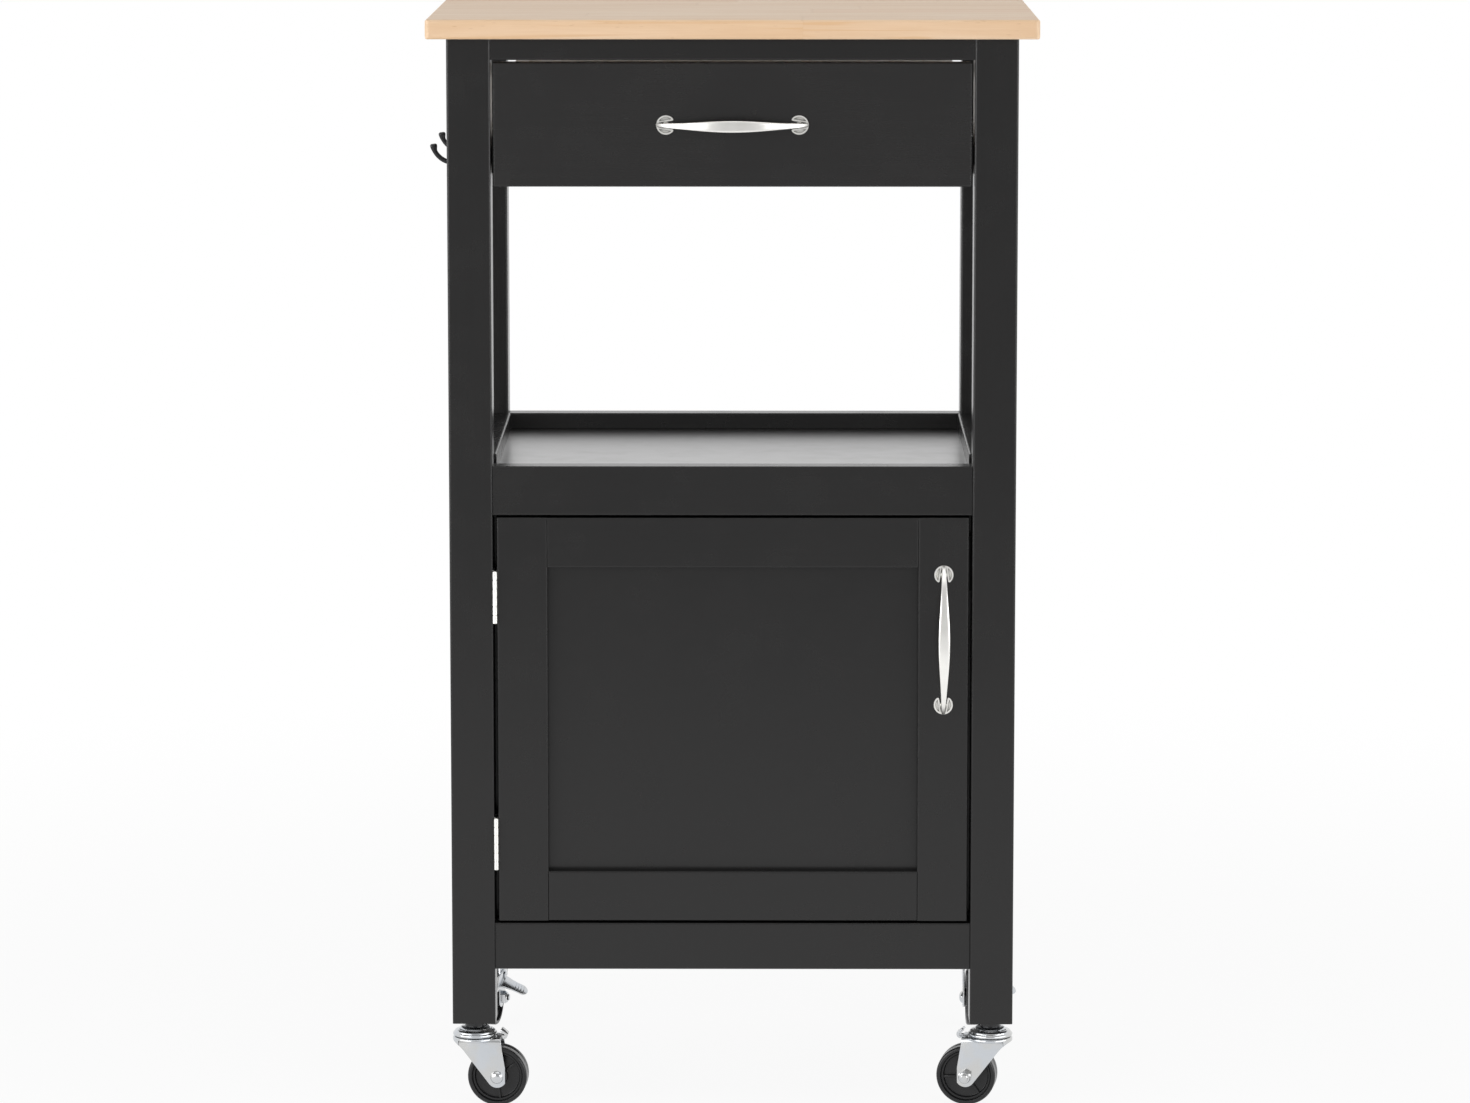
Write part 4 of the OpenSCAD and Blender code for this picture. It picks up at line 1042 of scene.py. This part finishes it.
class ISLANDCART_OT_wheels(bpy.types.Operator):
    """Model the moulded wheels with their stepped rims and ribbed webs"""

    bl_idname = "island_cart.wheels"
    bl_label = "Wheels"

    def execute(self, context):
        sizes = context.scene.island_cart_sizes
        tread, step, web = sizes.tread / MM, sizes.rim_step / MM, sizes.web / MM
        r, shoulder, crown = WHEEL_RADIUS, 2.2, 0.12
        side = (
            [(3.1, tread + 0.4), (3.4, tread + 0.7), (7.9, tread + 0.7)]
            + arc(7.9, tread + 0.2, 0.5, 90, 0, 3) + [(8.6, web + 0.9)]
            + arc(9.5, web + 0.9, 0.9, 180, 270, 4) + arc(18.0, web + 0.8, 0.8, 270, 360, 4)
            + [(18.95, step - 0.3), (19.2, step), (20.55, step), (20.75, step - 0.25)]
            + [(20.85, step - 1.1), (21.25, step - 1.1), (21.4, tread - 0.5)]
            + arc(21.9, tread - 0.5, 0.5, 180, 90, 3)
            + arc(r - shoulder, tread - shoulder, shoulder, 84, 4, 9) + [(r, tread - 2.6), (r, 0.35)]
        )
        wheel = turned(side + [(r - crown, 0.0)] + [(x, -y) for x, y in reversed(side)] + [side[0]], 96)
        rib = brick((7.9, -0.85, 0.5 - step), (19.3, 0.85, step - 0.5), 0.35)
        wheel = joined(wheel, *[settled(copied(rib), (0, 0, angle)) for angle in (0, 120, 240)])
        discard(rib)
        finish = moulded("moulded black wheel", context.scene.island_cart_colours.moulded, 0.2)
        for corner, rib_turn in zip(CORNERS, (36.0, -6.0, 15.0, 77.0)):
            standing = settled(copied(wheel), (0, 0, rib_turn))
            settled(standing, (90, 0, 0), (TRAIL * MM, 0, AXLE_HEIGHT * MM))
            under_leg(
                standing, corner, "ribbed_wheel", "roller", "wheel", finish, SMOOTH_CASTER
            )
            discard(standing)
        discard(wheel)
        return {"FINISHED"}


class ISLANDCART_OT_brakes(bpy.types.Operator):
    """Model the brake levers of the back casters"""

    bl_idname = "island_cart.brakes"
    bl_label = "Brake levers"

    def execute(self, context):
        sizes = context.scene.island_cart_sizes
        clearance, thick, shoe_gap, shoe_back = 0.3, 1.6, 3.2, 8.0
        face = (sizes.cheek + sizes.sheet) / MM + clearance
        pin_x, pin_z = BRAKE_PLACE
        shoe = WHEEL_RADIUS + shoe_gap

        def around(radius, angle):
            a = math.radians(angle)
            return (TRAIL + radius * math.cos(a), AXLE_HEIGHT + radius * math.sin(a))

        plate = pressed(
            arc(pin_x, pin_z, 4.6, 100, 200, 10)
            + [(pin_x - 5.0, pin_z - 2.8), (pin_x + 7.5, pin_z - 10.0)]
            + [around(shoe - 1.0, 21), around(shoe + 2.4, 21), around(shoe + 2.4, 47)],
            face, thick,
        )
        hole = turned([(0, -2), (2.1, -2), (2.1, 4), (0, 4)], 32)
        cut(plate, settled(hole, (-90, 0, 0), (pin_x * MM, face * MM, pin_z * MM)))
        soften(plate, 0.3, 2, 40)
        block = pressed(
            arc(TRAIL, AXLE_HEIGHT, shoe, 24, 44, 8) + arc(TRAIL, AXLE_HEIGHT, shoe + thick, 44, 24, 8),
            -shoe_back, shoe_back + face + thick - 0.4,
        )
        soften(block, 0.3, 2, 40)
        pedal = pressed(
            [(-7.8, 0), (6.6, 0), (6.3, 4.0), (5.7, 9.0), (5.6, 14.0)] + arc(0, 18.4, 5.6, 0, 180, 16)
            + [(-5.6, 14.0), (-6.1, 9.0), (-7.3, 4.0)],
            0.0, thick, plane="xy",
        )
        ridges = [
            brick((-4.0, y - 0.45, thick - 0.3), (4.0, y + 0.45, thick + 0.35), 0.3)
            for y in (12.4, 15.0, 17.6, 20.2)
        ]
        slope, roll = -30, 30
        pedal = settled(joined(soften(pedal, 0.4, 3, 40), *ridges), (slope, 0, 0))
        settled(pedal, (0, roll, 0), ((pin_x + 1.8) * MM, (face + 0.2) * MM, (pin_z - 6.7) * MM))
        lever = joined(plate, block, pedal)
        finish = zinc(context.scene.island_cart_colours.zinc)
        for corner in CORNERS[2:]:
            under_leg(lever, corner, "brake_lever", "lever", "brake", finish)
        discard(lever)
        return {"FINISHED"}


# ------------------------------------------------------------------ stage

WHITE = (1.0, 1.0, 1.0, 1.0)
FLOOR_RADIUS = 2.4
CAMERA_PLACE = (0.0238, -5.0, 1.1787)
CAMERA_TILT = 90.0 - 8.322
CAMERA_TURN = 0.258
CAMERA_LENS = 143.88

# Each lamp's name, place, aim, width, height and power in watts.
LAMPS = (
    ("left_softbox", (-2.6, -2.2, 1.0), (0.0, 0.0, 0.5), 3.6, 1.8, 68.0),
    ("right_softbox", (2.8, -2.0, 1.0), (0.0, 0.0, 0.5), 3.6, 1.8, 55.0),
    ("overhead_softbox", (0.0, -0.9, 3.2), (0.0, 0.0, 0.6), 2.6, 2.2, 13.5),
)


def softbox(name, place, aim, width, height, power):
    """A rectangular lamp that points at a place."""
    choose()
    bpy.ops.object.light_add(type="AREA", location=place)
    lamp = bpy.context.object
    lamp.name = name
    lamp.data.shape = "RECTANGLE"
    lamp.data.size, lamp.data.size_y = width, height
    lamp.data.energy = power
    lamp.rotation_euler = (Vector(aim) - Vector(place)).to_track_quat("-Z", "Y").to_euler()


def floor_paint(base):
    """Pale floor that fades to white away from the cart and keeps its shadow."""
    finish = Finish("pale studio floor", Roughness=0.6, Base_Color=(*base, 1.0))
    away = finish.node("ShaderNodeVectorMath", {"operation": "LENGTH"}, {0: finish.place}, out=1)
    seen = finish.light_path("Camera", "Glossy", "Transmission")
    white = finish.node("ShaderNodeEmission", None, {"Color": WHITE, "Strength": 1.0})
    covering = Signal(finish, finish.shader.outputs[0])
    near, far, least_white = 0.5, 2.0, 0.92
    whitened = finish.either(seen * finish.between(away, near, far, least_white, 1.0), covering, white)
    finish.links.new(whitened.socket, finish.nodes["Material Output"].inputs["Surface"])
    return finish.material


def surroundings(scene):
    """White surroundings behind the cart, dimmer in front and above, where the studio is dark."""
    scene.world = bpy.data.worlds.new("studio surroundings")
    scene.world.use_nodes = True
    wiring = Wiring(scene.world.node_tree)
    wiring.nodes.clear()
    direction = wiring.node("ShaderNodeTexCoord", out="Generated")
    forward = wiring.node("ShaderNodeSeparateXYZ", None, {0: direction}, out="Y")
    upward = wiring.node("ShaderNodeSeparateXYZ", None, {0: direction}, out="Z")

    def glow(strength):
        return wiring.node("ShaderNodeBackground", None, {"Color": WHITE, "Strength": strength})

    dimmed = wiring.between(upward, 0.2, 0.9, 1.0, 0.45)
    lit = glow(wiring.between(forward, -0.6, 0.2, 0.34, 0.66) * dimmed)
    mirrored = glow(wiring.between(forward, -0.5, 0.15, 0.52, 1.0))
    unseen = wiring.either(wiring.light_path("Glossy", "Transmission"), lit, mirrored)
    whole = wiring.either(wiring.light_path("Camera"), unseen, glow(1.0))
    output = wiring.nodes.new("ShaderNodeOutputWorld")
    wiring.links.new(whole.socket, output.inputs["Surface"])


class ISLANDCART_OT_stage(bpy.types.Operator):
    """Set the floor, the lamps, the surroundings and the camera"""

    bl_idname = "island_cart.stage"
    bl_label = "Stage"

    def execute(self, context):
        scene = context.scene
        choose()
        bpy.ops.mesh.primitive_circle_add(vertices=96, radius=FLOOR_RADIUS, fill_type="NGON")
        floor = context.object
        floor.name = "studio_floor"
        floor.data.materials.append(floor_paint(scene.island_cart_colours.floor))
        surroundings(scene)
        for lamp in LAMPS:
            softbox(*lamp)
        choose()
        bpy.ops.object.camera_add(
            location=CAMERA_PLACE, rotation=(math.radians(CAMERA_TILT), 0.0, math.radians(CAMERA_TURN))
        )
        camera = context.object
        camera.name = "studio_camera"
        camera.data.lens, camera.data.sensor_width = CAMERA_LENS, 36.0
        camera.data.clip_start, camera.data.clip_end = 0.1, 100.0
        scene.camera = camera
        scene.view_settings.view_transform = "Standard"
        return {"FINISHED"}


# ------------------------------------------------------------------ panel and registration

OPERATORS = (
    ISLANDCART_OT_lacquered_parts,
    ISLANDCART_OT_worktop,
    ISLANDCART_OT_drawer_box,
    ISLANDCART_OT_small_parts,
    ISLANDCART_OT_pulls,
    ISLANDCART_OT_hooks,
    ISLANDCART_OT_caster_caps,
    ISLANDCART_OT_forks,
    ISLANDCART_OT_axles,
    ISLANDCART_OT_wheels,
    ISLANDCART_OT_brakes,
    ISLANDCART_OT_stage,
)


class ISLANDCART_PT_panel(bpy.types.Panel):
    """Steps that finish the cart, in order."""

    bl_idname = "ISLANDCART_PT_panel"
    bl_label = "Kitchen island cart"
    bl_space_type = "VIEW_3D"
    bl_region_type = "UI"
    bl_category = "Island cart"

    def draw(self, context):
        for group in (context.scene.island_cart_sizes, context.scene.island_cart_colours):
            box = self.layout.box()
            for name in group.__annotations__:
                box.prop(group, name)
        for operator in OPERATORS:
            self.layout.operator(operator.bl_idname)


CLASSES = (ISLANDCART_PG_sizes, ISLANDCART_PG_colours, *OPERATORS, ISLANDCART_PT_panel)


def register():
    for cls in CLASSES:
        bpy.utils.register_class(cls)
    bpy.types.Scene.island_cart_sizes = bpy.props.PointerProperty(type=ISLANDCART_PG_sizes)
    bpy.types.Scene.island_cart_colours = bpy.props.PointerProperty(type=ISLANDCART_PG_colours)


def unregister():
    del bpy.types.Scene.island_cart_colours
    del bpy.types.Scene.island_cart_sizes
    for cls in reversed(CLASSES):
        bpy.utils.unregister_class(cls)


def main():
    """Registers the add-on and runs every step."""
    register()
    for operator in OPERATORS:
        group, name = operator.bl_idname.split(".")
        getattr(getattr(bpy.ops, group), name)()


if __name__ == "__main__":
    main()
